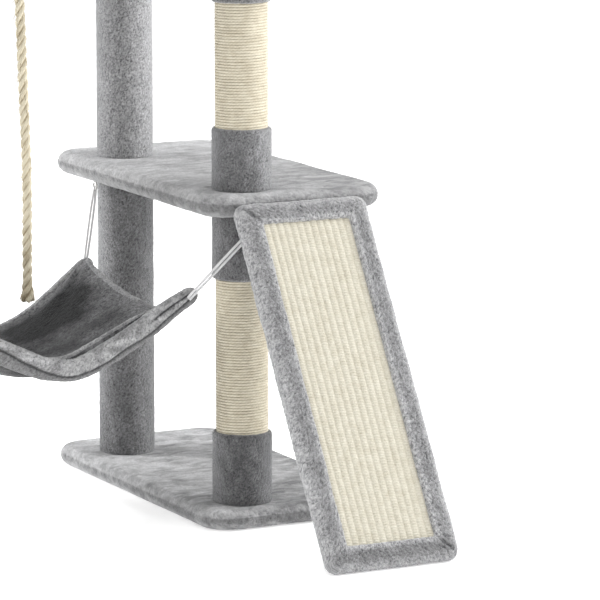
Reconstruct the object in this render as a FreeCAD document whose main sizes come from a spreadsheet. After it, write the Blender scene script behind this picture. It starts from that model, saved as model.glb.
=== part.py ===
"""Two-tower cat tree with a hammock, a hanging rope and a scratching ramp.

Millimetres, +Z up. The origin is on the floor, midway between the towers.
Each tower has a plush-covered base, a sisal post in front, a plush post behind
and a middle platform. One top platform joins the four posts.
"""

import FreeCAD
import Part
import math
import os
import re
import Sketcher

# Driving dimensions: alias, millimetres.
DIMENSIONS = [
    ("PlatformWidth", 300),
    ("PlatformDepth", 600),
    ("PlatformCentreX", 374),
    ("PlatformCentreY", 160),
    ("TopWidth", 800),
    ("CornerRadius", 52),
    ("EdgeFlat", 0.4),
    ("BoardThickness", 16),
    ("PileDepth", 9),
    ("EdgePile", 6),
    ("BaseWrap", 7),
    ("BaseWindowInset", 45),
    ("BaseWindowCorner", 20),
    ("PilotSkin", 3),
    ("MidUnderside", 476),
    ("TopUnderside", 900),
    ("PostX", 306),
    ("FrontPostY", -76),
    ("BackPostY", 340),
    ("TubeDiameter", 70),
    ("TubeWall", 5),
    ("TubeFit", 0.4),
    ("SisalCord", 5),
    ("SleeveDiameter", 90),
    ("BaseSleeveLength", 108),
    ("UnderSleeveLength", 100),
    ("MidSleeveLength", 93),
    ("TopSleeveLength", 107),
    ("SleeveRound", 5),
    ("PlushPostDiameter", 88),
    ("PlugThickness", 14),
    ("BoltDiameter", 8),
    ("BoltHole", 8.4),
    ("BoltHeadRadius", 7.5),
    ("BoltHeadHeight", 5.3),
    ("WasherDiameter", 22),
    ("WasherThickness", 1.6),
    ("BoltWell", 26),
    ("EyeShank", 4),
    ("EyeShankLength", 26),
    ("EyeWire", 3.5),
    ("EyeRing", 6),
    ("EyeSink", 1),
    ("HookX", 245),
    ("BackHookY", 322),
    ("FrontHookX", 304),
    ("FrontHookY", -130),
    ("HammockHalfWidth", 221),
    ("HammockHalfDepth", 204.5),
    ("HammockCentreY", 105.5),
    ("CordDiameter", 4),
    ("CordGap", 0.4),
    ("CordEndGap", 6),
    ("RampCorner", 16),
    ("RampBoardCorner", 8),
    ("MatCorner", 3),
    ("RampWidth", 218),
    ("RampThickness", 28),
    ("RampX", 364),
    ("RampFootY", -446),
    ("RampTopY", -155),
    ("RampTopZ", 484.5),
    ("RampBorder", 36),
    ("RampBoardThickness", 12),
    ("RampPilotDepth", 8),
    ("MatThickness", 5),
    ("MatLength", 510),
    ("BracketWidth", 30),
    ("BracketThickness", 2),
    ("BracketLeg", 52),
    ("BracketX", 408),
    ("BracketSpacing", 60),
    ("ScrewOffset", 8),
    ("ScrewInset", 32),
    ("RampScrewInset", 50),
    ("ScrewHeadHeight", 2),
    ("ScrewDiameter", 4),
    ("ScrewHead", 8),
    ("ScrewLength", 16),
    ("RopeX", 22),
    ("RopeY", 96),
    ("RopeDiameter", 15),
    ("RopeEyeRing", 8),
    ("RopeCapDiameter", 20),
    ("RopeCapLength", 33),
    ("RopeCapBore", 16),
    ("RopeCapWall", 3),
]

# Signs of the two towers along X.
TOWERS = {"left": -1, "right": 1}

# Signs of each bracket's hand and of each of its screws.
SCREW_SIGNS = [(hand, offset) for hand in (-1, 1) for offset in (-1, 1)]

# Rope route from inside its end cap down to the frayed end, x, y, z.
ROPE_ROUTE = [
    (22.0, 96.0, 852.0),
    (21.6, 96.2, 800.0),
    (23.4, 95.4, 735.0),
    (26.4, 96.6, 660.0),
    (29.4, 96.0, 575.0),
    (30.4, 94.8, 490.0),
    (29.2, 95.6, 410.0),
    (29.8, 96.0, 335.0),
]

# Hammock cross-sections from front to back: fraction of the half depth,
# half width, height at the ends, height in the middle, thickness, radius
# of the round bottom between the two straight flanks.
HAMMOCK_SECTIONS = [
    (-1.0, 221.0, 374.0, 281.0, 33.0, 60.0),
    (-0.86, 218.0, 356.0, 266.0, 24.0, 90.0),
    (-0.5, 214.0, 330.0, 246.0, 15.0, 150.0),
    (0.0, 212.0, 320.0, 238.0, 14.0, 200.0),
    (0.5, 214.0, 330.0, 240.0, 15.0, 220.0),
    (0.86, 219.0, 345.0, 246.0, 20.0, 230.0),
    (1.0, 224.0, 355.0, 250.0, 26.0, 230.0),
]

doc = FreeCAD.newDocument("CatTree")
sheet = doc.addObject("Spreadsheet::Sheet", "Sizes")
for row, (alias, amount) in enumerate(DIMENSIONS, start=1):
    sheet.set(f"A{row}", alias)
    sheet.set(f"B{row}", str(amount))
    sheet.setAlias(f"B{row}", alias)
doc.recompute()
SIZE = {alias: float(amount) for alias, amount in DIMENSIONS}

parts = []


def spelled(expression):
    """Return the expression with each alias given its sheet name."""
    return re.sub(r"[A-Z]\w+", lambda alias: f"Sizes.{alias[0]}", expression)


def value(expression):
    """Work out an expression of spreadsheet aliases as a number."""
    return float(sheet.evalExpression(spelled(expression)))


def place(item, x="0", y="0", z="0"):
    """Bind an object's position to the sheet."""
    for axis, expression in zip("xyz", (x, y, z)):
        item.setExpression(f"Placement.Base.{axis}", spelled(expression))


def keep(item, label):
    """Name an object as a finished sub-part."""
    item.Label = label
    parts.append(item)
    return item


# ---------------------------------------------------------------- PartDesign


def new_body(label, x="0", y="0", z="0"):
    """Start a body at a place bound to the sheet."""
    body = doc.addObject("PartDesign::Body", label)
    place(body, x, y, z)
    return keep(body, label)


def new_sketch(body, name, offset="0", role="XY_Plane"):
    """Attach a sketch to one of the body's origin planes."""
    sketch = body.newObject("Sketcher::SketchObject", name)
    plane = next(f for f in body.Origin.OriginFeatures if f.Role == role)
    sketch.AttachmentSupport = [(plane, "")]
    sketch.MapMode = "FlatFace"
    sketch.setExpression("AttachmentOffset.Base.z", spelled(offset))
    return sketch


def bind(sketch, constraint, name, expression):
    """Add a dimension constraint and bind it to the sheet."""
    index = sketch.addConstraint(constraint)
    sketch.renameConstraint(index, name)
    sketch.setExpression(f"Constraints.{name}", spelled(expression))


def draw_circle(sketch, x, y, diameter):
    """Draw one dimensioned circle."""
    at = FreeCAD.Vector(value(x), value(y), 0)
    index = sketch.addGeometry(Part.Circle(at, FreeCAD.Vector(0, 0, 1), value(diameter) / 2))
    across = Sketcher.Constraint("DistanceX", -1, 1, index, 3, at.x)
    along = Sketcher.Constraint("DistanceY", -1, 1, index, 3, at.y)
    if at.x:
        bind(sketch, across, f"X{index}", x)
    else:
        sketch.addConstraint(Sketcher.Constraint("PointOnObject", index, 3, -2))
    if at.y:
        bind(sketch, along, f"Y{index}", y)
    else:
        sketch.addConstraint(Sketcher.Constraint("PointOnObject", index, 3, -1))
    size = Sketcher.Constraint("Diameter", index, value(diameter))
    bind(sketch, size, f"Diameter{index}", diameter)


def draw_rounded_rectangle(sketch, width, depth, radius):
    """Draw a rectangle with round corners about the sketch origin."""
    half_w, half_d, corner = value(width) / 2, value(depth) / 2, value(radius)
    inner_x, inner_y = half_w - corner, half_d - corner
    axis = FreeCAD.Vector(0, 0, 1)
    ends = [
        ((-inner_x, -half_d), (inner_x, -half_d)),
        ((half_w, -inner_y), (half_w, inner_y)),
        ((inner_x, half_d), (-inner_x, half_d)),
        ((-half_w, inner_y), (-half_w, -inner_y)),
    ]
    centres = [(inner_x, -inner_y), (inner_x, inner_y), (-inner_x, inner_y), (-inner_x, -inner_y)]
    first = sketch.GeometryCount
    for start, end in ends:
        sketch.addGeometry(Part.LineSegment(FreeCAD.Vector(*start, 0), FreeCAD.Vector(*end, 0)))
    for turn, centre in enumerate(centres):
        circle = Part.Circle(FreeCAD.Vector(*centre, 0), axis, corner)
        from_angle = (turn - 1) * math.pi / 2
        sketch.addGeometry(Part.ArcOfCircle(circle, from_angle, from_angle + math.pi / 2))
    for side in range(4):
        line, arc, following = first + side, first + 4 + side, first + (side + 1) % 4
        sketch.addConstraint(Sketcher.Constraint("Tangent", line, 2, arc, 1))
        sketch.addConstraint(Sketcher.Constraint("Tangent", arc, 2, following, 1))
        level = "Horizontal" if side % 2 == 0 else "Vertical"
        sketch.addConstraint(Sketcher.Constraint(level, line))
        if side:
            sketch.addConstraint(Sketcher.Constraint("Equal", first + 4, arc))
    opposite = Sketcher.Constraint("Symmetric", first + 4, 3, first + 6, 3, -1, 1)
    sketch.addConstraint(opposite)
    bind(sketch, Sketcher.Constraint("Radius", first + 4, corner), "Corner", radius)
    across = Sketcher.Constraint("DistanceX", first + 3, 1, first + 1, 1, 2 * half_w)
    bind(sketch, across, "Width", width)
    along = Sketcher.Constraint("DistanceY", first, 1, first + 2, 1, 2 * half_d)
    bind(sketch, along, "Depth", depth)


def pad(body, sketch, length):
    """Extrude a sketch."""
    feature = body.newObject("PartDesign::Pad", f"{sketch.Name}Pad")
    feature.Profile = sketch
    feature.setExpression("Length", spelled(length))
    sketch.Visibility = False
    doc.recompute()
    return feature


def pocket(body, sketch, length):
    """Cut a sketch downwards from its own plane, and make sure that it cuts."""
    before = body.Shape.Volume
    feature = body.newObject("PartDesign::Pocket", f"{sketch.Name}Pocket")
    feature.Profile = sketch
    feature.setExpression("Length", spelled(length))
    sketch.Visibility = False
    doc.recompute()
    if body.Shape.Volume >= before:
        raise RuntimeError(f"{feature.Name} cuts nothing")
    return feature


def round_edges(body, radius, chosen):
    """Fillet the edges of the body's tip that chosen(edge) accepts."""
    tip = body.Tip
    names = [f"Edge{i}" for i, edge in enumerate(tip.Shape.Edges, start=1) if chosen(edge)]
    feature = body.newObject("PartDesign::Fillet", f"{tip.Name}Fillet")
    feature.Base = (tip, names)
    feature.setExpression("Radius", spelled(radius))
    doc.recompute()


def level_edge(*heights):
    """Accept edges that lie flat at one of the given heights."""

    def accept(edge):
        box = edge.BoundBox
        flat = box.ZLength < 0.01
        return flat and any(abs(box.ZMin - height) < 0.01 for height in heights)

    return accept


def make_ring(label, x, y, z, outer, inner, length, rounding=None):
    """Make an upright hollow cylinder."""
    body = new_body(label, x, y, z)
    sketch = new_sketch(body, f"{label}_ring")
    draw_circle(sketch, "0", "0", outer)
    draw_circle(sketch, "0", "0", inner)
    pad(body, sketch, length)
    if rounding:
        limit = value(inner) / 2 + 1
        flat = level_edge(0, value(length))
        round_edges(body, rounding, lambda edge: flat(edge) and edge.Curve.Radius > limit)
    return body


# ---------------------------------------------------------- Part primitives


def cylinder(name, diameter, height, x, y, z):
    """Make an upright cylinder bound to the sheet."""
    item = doc.addObject("Part::Cylinder", name)
    item.setExpression("Radius", spelled(f"({diameter}) / 2"))
    item.setExpression("Height", spelled(height))
    place(item, x, y, z)
    return item


def ring(name, major, wire, x, y, z, facing):
    """Make a wire ring whose axis is the given vector."""
    item = doc.addObject("Part::Torus", name)
    item.setExpression("Radius1", spelled(major))
    item.setExpression("Radius2", spelled(f"({wire}) / 2"))
    item.Placement.Rotation = FreeCAD.Rotation(FreeCAD.Vector(0, 0, 1), FreeCAD.Vector(*facing))
    place(item, x, y, z)
    return item


def fuse(name, *items):
    """Join primitives into one solid."""
    item = doc.addObject("Part::MultiFuse", name)
    item.Shapes = list(items)
    return item


def cut(name, base, tool):
    """Take one shape from another."""
    item = doc.addObject("Part::Cut", name)
    item.Base = base
    item.Tool = tool
    return item


def group(label, items):
    """Gather separate solids in one node."""
    item = doc.addObject("Part::Compound", label)
    item.Links = list(items)
    return keep(item, label)


# --------------------------------------------------------------- Platforms

BOARD_RADIUS = "CornerRadius - EdgePile"
PLATFORM_HEIGHT = "BoardThickness + 2 * PileDepth"
POST_CLEARANCE = "TubeDiameter + TubeFit"


def post_places(side):
    """List the front and back post centres, seen from the platform's centre."""
    x = f"{side} * (PostX - PlatformCentreX)"
    return [(x, "FrontPostY - PlatformCentreY"), (x, "BackPostY - PlatformCentreY")]


def hook_places(side):
    """List the hammock hooks of one tower, seen from the platform's centre."""
    return [
        (f"{side} * (FrontHookX - PlatformCentreX)", "FrontHookY - PlatformCentreY"),
        (f"{side} * (HookX - PlatformCentreX)", "BackHookY - PlatformCentreY"),
    ]


def bracket_screw_places():
    """List the four upright bracket screws, seen from the right platform's centre."""
    places = []
    for hand, offset in SCREW_SIGNS:
        x = f"BracketX - PlatformCentreX + {hand} * BracketSpacing / 2 + {offset} * ScrewOffset"
        places.append((x, "PlatformDepth / -2 + ScrewInset"))
    return places


def make_board(label, x, width, underside, through, pilots):
    """Make a wooden board with through holes and blind pilot holes below."""
    body = new_body(label, x, "PlatformCentreY", underside)
    outline = new_sketch(body, f"{label}_outline")
    draw_rounded_rectangle(outline, f"{width} - 2 * EdgePile",
                           "PlatformDepth - 2 * EdgePile", BOARD_RADIUS)
    pad(body, outline, "BoardThickness")
    holes = new_sketch(body, f"{label}_bolt_holes", "BoardThickness")
    for across, along in through:
        draw_circle(holes, across, along, "BoltHole")
    pocket(body, holes, "BoardThickness")
    if pilots:
        blind = new_sketch(body, f"{label}_pilot_holes", "BoardThickness - PilotSkin")
        for across, along in pilots:
            draw_circle(blind, across, along, "EyeShank")
        pocket(body, blind, "BoardThickness - PilotSkin")
    return body


def make_cover(label, x, width, underside, wrap, openings_above, openings_below, above, pilots):
    """Make a plush cover around a board, cut open where posts and bolts pass."""
    body = new_body(label, x, "PlatformCentreY", underside)
    height = f"{wrap} + BoardThickness + PileDepth"
    outline = new_sketch(body, f"{label}_outline")
    draw_rounded_rectangle(outline, width, "PlatformDepth", "CornerRadius")
    pad(body, outline, height)
    round_edges(body, f"({height}) / 2 - EdgeFlat", level_edge(0, value(height)))
    cavity = new_sketch(body, f"{label}_cavity", f"{wrap} + BoardThickness")
    draw_rounded_rectangle(cavity, f"{width} - 2 * EdgePile",
                           "PlatformDepth - 2 * EdgePile", BOARD_RADIUS)
    pocket(body, cavity, "BoardThickness")
    top_holes = new_sketch(body, f"{label}_top_holes", height)
    for across, along in openings_above:
        draw_circle(top_holes, across, along, above)
    pocket(body, top_holes, "PileDepth")
    bottom_holes = new_sketch(body, f"{label}_bottom_holes", wrap)
    for across, along in openings_below:
        draw_circle(bottom_holes, across, along, POST_CLEARANCE)
    for across, along in pilots:
        draw_circle(bottom_holes, across, along, "EyeShank")
    if not openings_below:
        draw_rounded_rectangle(bottom_holes, f"{width} - 2 * BaseWindowInset",
                               "PlatformDepth - 2 * BaseWindowInset", "BaseWindowCorner")
    pocket(body, bottom_holes, wrap)
    return body


def make_tower_boards(name, side):
    """Make one tower's base and middle platform."""
    x = f"{side} * PlatformCentreX"
    posts = post_places(side)
    pilots = hook_places(side)
    if name == "right":
        pilots = pilots + bracket_screw_places()
    make_board(f"base_board_{name}", x, "PlatformWidth", "BaseWrap", posts, [])
    make_cover(f"base_cover_{name}", x, "PlatformWidth", "0", "BaseWrap",
               posts, [], POST_CLEARANCE, [])
    make_board(f"platform_board_{name}", x, "PlatformWidth", "MidUnderside + PileDepth",
               posts, pilots)
    make_cover(f"platform_cover_{name}", x, "PlatformWidth", "MidUnderside", "PileDepth",
               posts, posts, POST_CLEARANCE, pilots)


def make_top_platform():
    """Make the platform that joins the two towers."""
    posts = []
    for side in TOWERS.values():
        posts += [(f"{side} * PostX", along) for _, along in post_places(side)]
    rope = [("RopeX", "RopeY - PlatformCentreY")]
    make_board("top_board", "0", "TopWidth", "TopUnderside + PileDepth", posts, rope)
    make_cover("top_cover", "0", "TopWidth", "TopUnderside", "PileDepth",
               posts, posts, "BoltWell", rope)


# ------------------------------------------------------------------- Posts

LOWER_TUBE_FOOT = "BaseWrap + BoardThickness"
UPPER_TUBE_FOOT = "MidUnderside + PileDepth + BoardThickness"
BASE_TOP = "BaseWrap + BoardThickness + PileDepth"
MID_TOP = f"MidUnderside + {PLATFORM_HEIGHT}"
TUBE_SPANS = {
    "lower": (LOWER_TUBE_FOOT, "MidUnderside + PileDepth"),
    "upper": (UPPER_TUBE_FOOT, "TopUnderside + PileDepth"),
}
CLEAR_SPANS = {
    "lower": (BASE_TOP, "MidUnderside"),
    "upper": (MID_TOP, "TopUnderside"),
}
FRONT_SLEEVES = {
    "lower": ("BaseSleeveLength", "UnderSleeveLength"),
    "upper": ("MidSleeveLength", "TopSleeveLength"),
}
TUBE_BORE = "TubeDiameter - 2 * TubeWall"


def make_front_post(name, side, storey):
    """Wrap a tube in sisal, with a plush sleeve at each end."""
    x = f"{side} * PostX"
    foot, head = CLEAR_SPANS[storey]
    foot_sleeve, head_sleeve = FRONT_SLEEVES[storey]
    make_ring(f"sleeve_bottom_{storey}_{name}", x, "FrontPostY", foot,
              "SleeveDiameter", "TubeDiameter", foot_sleeve, "SleeveRound")
    make_ring(f"sisal_wrap_{storey}_{name}", x, "FrontPostY", f"{foot} + {foot_sleeve}",
              "TubeDiameter + 2 * SisalCord", "TubeDiameter",
              f"{head} - ({foot}) - {foot_sleeve} - {head_sleeve}")
    make_ring(f"sleeve_top_{storey}_{name}", x, "FrontPostY", f"{head} - {head_sleeve}",
              "SleeveDiameter", "TubeDiameter", head_sleeve, "SleeveRound")


def make_back_post(name, side, storey):
    """Cover a tube in plush from end to end."""
    foot, head = CLEAR_SPANS[storey]
    make_ring(f"plush_wrap_{storey}_{name}", f"{side} * PostX", "BackPostY", foot,
              "PlushPostDiameter", "TubeDiameter", f"{head} - ({foot})")


def make_tubes(name, side):
    """Make one tower's four cardboard tubes and their glued-in end plugs."""
    x = f"{side} * PostX"
    plugs = []
    for place_name, y in (("front", "FrontPostY"), ("back", "BackPostY")):
        for storey, (foot, head) in TUBE_SPANS.items():
            make_ring(f"tube_{place_name}_{storey}_{name}", x, y, foot,
                      "TubeDiameter", TUBE_BORE, f"{head} - ({foot})")
            for end, z in (("foot", foot), ("head", f"{head} - PlugThickness")):
                stem = f"plug_{place_name}_{storey}_{end}_{name}"
                disc = cylinder(f"{stem}_disc", TUBE_BORE, "PlugThickness", x, y, z)
                hole = cylinder(f"{stem}_hole", "BoltDiameter", "PlugThickness", x, y, z)
                plugs.append(cut(stem, disc, hole))
    group(f"tube_plugs_{name}", plugs)


def make_studs(name, side):
    """Make the double-ended studs that join a lower tube to the upper one."""
    studs = []
    for place_name, y in (("front", "FrontPostY"), ("back", "BackPostY")):
        studs.append(cylinder(f"stud_{place_name}_{name}", "BoltDiameter",
                              "BoardThickness + 2 * PlugThickness", f"{side} * PostX", y,
                              "MidUnderside + PileDepth - PlugThickness"))
    group(f"joining_studs_{name}", studs)


def bolt(name, x, y, seat, up):
    """Make a hex bolt and its washer. The seat is the board face under the washer."""
    shank_length = "BoardThickness + PlugThickness + WasherThickness"
    if up:
        shank_foot = f"{seat} - WasherThickness"
        head_foot = f"{seat} - WasherThickness - BoltHeadHeight"
        washer_foot = f"{seat} - WasherThickness"
    else:
        shank_foot = f"{seat} - BoardThickness - PlugThickness"
        head_foot = f"{seat} + WasherThickness"
        washer_foot = seat
    shank = cylinder(f"{name}_shank", "BoltDiameter", shank_length, x, y, shank_foot)
    head = doc.addObject("Part::Prism", f"{name}_head")
    head.Polygon = 6
    head.setExpression("Circumradius", spelled("BoltHeadRadius"))
    head.setExpression("Height", spelled("BoltHeadHeight"))
    place(head, x, y, head_foot)
    disc = cylinder(f"{name}_disc", "WasherDiameter", "WasherThickness", x, y, washer_foot)
    hole = cylinder(f"{name}_eye", "BoltHole", "WasherThickness", x, y, washer_foot)
    return fuse(name, shank, head), cut(f"{name}_washer", disc, hole)


def make_bolts():
    """Bolt the lower tubes to the bases and the top platform to the upper tubes."""
    levels = {
        "base": ("BaseWrap", True),
        "top": ("TopUnderside + PileDepth + BoardThickness", False),
    }
    for level, (seat, up) in levels.items():
        bolts = []
        washers = []
        for name, side in TOWERS.items():
            for place_name, y in (("front", "FrontPostY"), ("back", "BackPostY")):
                stem = f"{level}_bolt_{place_name}_{name}"
                hex_bolt, washer = bolt(stem, f"{side} * PostX", y, seat, up)
                bolts.append(hex_bolt)
                washers.append(washer)
        group(f"{level}_bolts", bolts)
        group(f"{level}_washers", washers)


# ------------------------------------------------------------------ Hammock

SCREWED_IN = "(PileDepth + BoardThickness - PilotSkin)"


def screw_eye(name, major, x, y, underside, facing):
    """Make a screw eye that hangs from a board through its plush."""
    shank = cylinder(f"{name}_shank", "EyeShank", "EyeShankLength", x, y,
                     f"{underside} + {SCREWED_IN} - EyeShankLength")
    centre = f"{underside} + {SCREWED_IN} - EyeShankLength + EyeSink - {major}"
    loop = ring(f"{name}_ring", major, "EyeWire", x, y, centre, facing)
    return fuse(name, shank, loop)


def make_hooks(name, side):
    """Make the two screw eyes that hold one side of the hammock."""
    eyes = []
    spots = (("front", "FrontHookX", "FrontHookY"), ("back", "HookX", "BackHookY"))
    for place_name, x, y in spots:
        eyes.append(screw_eye(f"hook_{place_name}_{name}", "EyeRing", f"{side} * {x}", y,
                              "MidUnderside", (1, 0, 0)))
    group(f"hammock_eyes_{name}", eyes)


def flank_angle(half, sag, radius):
    """Give the slope of flanks that leave a round bottom and end half away, sag higher."""
    spare = 2 * radius - sag
    return 2 * math.atan((half - math.sqrt(half**2 - sag * spare)) / spare)


def draw_hammock_section(sketch, half, end, middle, thick, radius):
    """Draw a sagging strip: two straight flanks joined by a round bottom."""
    angle = flank_angle(half, end - middle, radius)
    bend = FreeCAD.Vector(radius * math.sin(angle), middle + radius * (1 - math.cos(angle)), 0)
    tip = FreeCAD.Vector(half, end, 0)
    axis = FreeCAD.Vector(0, 0, 1)
    strips = []
    for drop in (0, thick):
        down = FreeCAD.Vector(0, -drop, 0)
        left = [FreeCAD.Vector(-p.x, p.y, 0) + down for p in (tip, bend)]
        right = [p + down for p in (bend, tip)]
        circle = Part.Circle(FreeCAD.Vector(0, middle + radius - drop, 0), axis, radius)
        bottom = Part.ArcOfCircle(circle, 1.5 * math.pi - angle, 1.5 * math.pi + angle)
        strip = [sketch.addGeometry(Part.LineSegment(*left)), sketch.addGeometry(bottom),
                 sketch.addGeometry(Part.LineSegment(*right))]
        sketch.addConstraint(Sketcher.Constraint("Tangent", strip[0], 2, strip[1], 1))
        sketch.addConstraint(Sketcher.Constraint("Tangent", strip[1], 2, strip[2], 1))
        sketch.addConstraint(Sketcher.Constraint("Symmetric", strip[0], 1, strip[2], 2, -2))
        sketch.addConstraint(Sketcher.Constraint("PointOnObject", strip[1], 3, -2))
        strips.append((strip, left[0], right[1]))
    (upper, upper_left, upper_right), (lower, lower_left, lower_right) = strips
    for corner, strip_end, start, finish in ((1, 0, upper_left, lower_left),
                                             (2, 2, upper_right, lower_right)):
        side = sketch.addGeometry(Part.LineSegment(start, finish))
        sketch.addConstraint(Sketcher.Constraint("Coincident", upper[strip_end], corner, side, 1))
        sketch.addConstraint(Sketcher.Constraint("Coincident", lower[strip_end], corner, side, 2))
    sketch.addConstraint(Sketcher.Constraint("Vertical", side))
    sketch.addConstraint(Sketcher.Constraint("Equal", upper[1], lower[1]))
    sketch.addConstraint(Sketcher.Constraint("DistanceY", lower[1], 3, upper[1], 3, thick))
    sketch.addConstraint(Sketcher.Constraint("Radius", upper[1], radius))
    sketch.addConstraint(Sketcher.Constraint("DistanceY", -1, 1, upper[2], 2, end))
    sketch.addConstraint(Sketcher.Constraint("DistanceY", side, 2, side, 1, thick))
    inset = HAMMOCK_SECTIONS[0][1] - half
    across = Sketcher.Constraint("DistanceX", upper[0], 1, upper[2], 2, 2 * half)
    bind(sketch, across, "Width", f"2 * (HammockHalfWidth - ({inset}))")
    height = Sketcher.Constraint("DistanceY", -1, 1, upper[1], 3, middle + radius)
    sketch.addConstraint(height)


def make_hammock():
    """Loft the slung bed through its cross-sections, from front to back."""
    body = new_body("hammock_bed", "0", "HammockCentreY", "0")
    sections = []
    for index, (along, *shape) in enumerate(HAMMOCK_SECTIONS):
        offset = f"{-along} * HammockHalfDepth"
        sketch = new_sketch(body, f"hammock_section_{index}", offset, "XZ_Plane")
        draw_hammock_section(sketch, *shape)
        sections.append(sketch)
    doc.recompute()
    loft = body.newObject("PartDesign::AdditiveLoft", "hammock_loft")
    loft.Profile = sections[0]
    loft.Sections = sections[1:]
    loft.Ruled = False
    doc.recompute()


def tube(label, runs, diameter, bend_radius=None):
    """Sweep a round tube along straight runs joined by tangent arcs."""
    points = [FreeCAD.Vector(*point) for point in runs]
    corners = range(1, len(points) - 1)
    bends = {}
    for index in corners:
        before, here, after = points[index - 1:index + 2]
        incoming, outgoing = here - before, after - here
        turn = incoming.getAngle(outgoing)
        shorter = min(incoming.Length, outgoing.Length)
        radius = bend_radius or 0.45 * shorter / math.tan(turn / 2)
        setback = radius * math.tan(turn / 2)
        start = here - incoming * (setback / incoming.Length)
        end = here + outgoing * (setback / outgoing.Length)
        to_start, to_end = start - here, end - here
        bisector = to_start + to_end
        bisector.normalize()
        middle = here + bisector * (radius / math.cos(turn / 2) - radius)
        bends[index] = (start, middle, end)
        print(label, "bend", index, "radius", round(radius, 1))
    edges = []
    cursor = points[0]
    for index in corners:
        start, middle, end = bends[index]
        edges.append(Part.LineSegment(cursor, start).toShape())
        edges.append(Part.Arc(start, middle, end).toShape())
        cursor = end
    edges.append(Part.LineSegment(cursor, points[-1]).toShape())
    path = Part.Wire(edges)
    heading = points[1] - points[0]
    disc = Part.Wire(Part.Circle(points[0], heading, diameter / 2).toShape())
    solid = path.makePipeShell([disc], True, True)
    expected = path.Length * math.pi * diameter**2 / 4
    if abs(solid.Volume / expected - 1) > 0.01:
        raise RuntimeError(f"{label} has the wrong volume")
    print(label, "length", round(path.Length, 1))
    item = doc.addObject("Part::Feature", label)
    item.Shape = solid
    return keep(item, label)


# Share of the U-turn's half width that its bends take up.
TIGHT_TURN = 0.98


def hammock_cord_route(side, corner, anchor):
    """Give the doubled cord's route, up, round the eye's wire and down, and its turn."""
    lower = FreeCAD.Vector(*corner)
    upper = FreeCAD.Vector(*anchor)
    heading = upper - lower
    heading.normalize()
    spread = heading.cross(FreeCAD.Vector(0, 1, 0))
    spread.normalize()
    turn = (SIZE["EyeWire"] + SIZE["CordDiameter"]) / 2 + SIZE["CordGap"]
    foot = SIZE["CordDiameter"] / 2 + SIZE["CordGap"]
    over = upper + heading * turn
    route = [
        lower - spread * foot,
        over - spread * turn,
        over + spread * turn,
        lower + spread * foot,
    ]
    return [(side * point.x, point.y, point.z) for point in route], turn


def make_hammock_cords():
    """Tie each corner of the hammock to its screw eye with a doubled cord."""
    eye_wire = value(f"MidUnderside + {SCREWED_IN} - EyeShankLength + EyeSink - 2 * EyeRing")
    ends = {
        "front": (HAMMOCK_SECTIONS[0], SIZE["FrontHookX"], SIZE["FrontHookY"]),
        "back": (HAMMOCK_SECTIONS[-1], SIZE["HookX"], SIZE["BackHookY"]),
    }
    for place_name, ((along, half, end, _, thick, _), hook_x, hook_y) in ends.items():
        corner = (half + SIZE["CordEndGap"],
                  SIZE["HammockCentreY"] + along * SIZE["HammockHalfDepth"],
                  end - thick / 2)
        for name, side in TOWERS.items():
            route, turn = hammock_cord_route(side, corner, (hook_x, hook_y, eye_wire))
            label = f"hammock_cord_{place_name}_{name}"
            tube(label, route, SIZE["CordDiameter"], turn * TIGHT_TURN)


# --------------------------------------------------------------------- Ramp

RAMP_RISE = "(RampTopZ - RampThickness / 2)"
RAMP_RUN = "(RampTopY - RampFootY)"


def ramp_pose():
    """Give the ramp's slope and its length between the round ends' centres."""
    rise, run = value(RAMP_RISE), value(RAMP_RUN)
    return math.degrees(math.atan2(rise, run)), math.hypot(rise, run)


RAMP_LENGTH = f"sqrt({RAMP_RISE} ^ 2 + {RAMP_RUN} ^ 2) + RampThickness"


def ramp_body(label):
    """Start a body whose XY plane lies along the ramp's middle plane."""
    body = new_body(label, "RampX", "(RampFootY + RampTopY) / 2",
                    "(RampTopZ + RampThickness / 2) / 2")
    slope, _ = ramp_pose()
    body.Placement.Rotation = FreeCAD.Rotation(FreeCAD.Vector(1, 0, 0), slope)
    return body


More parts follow.
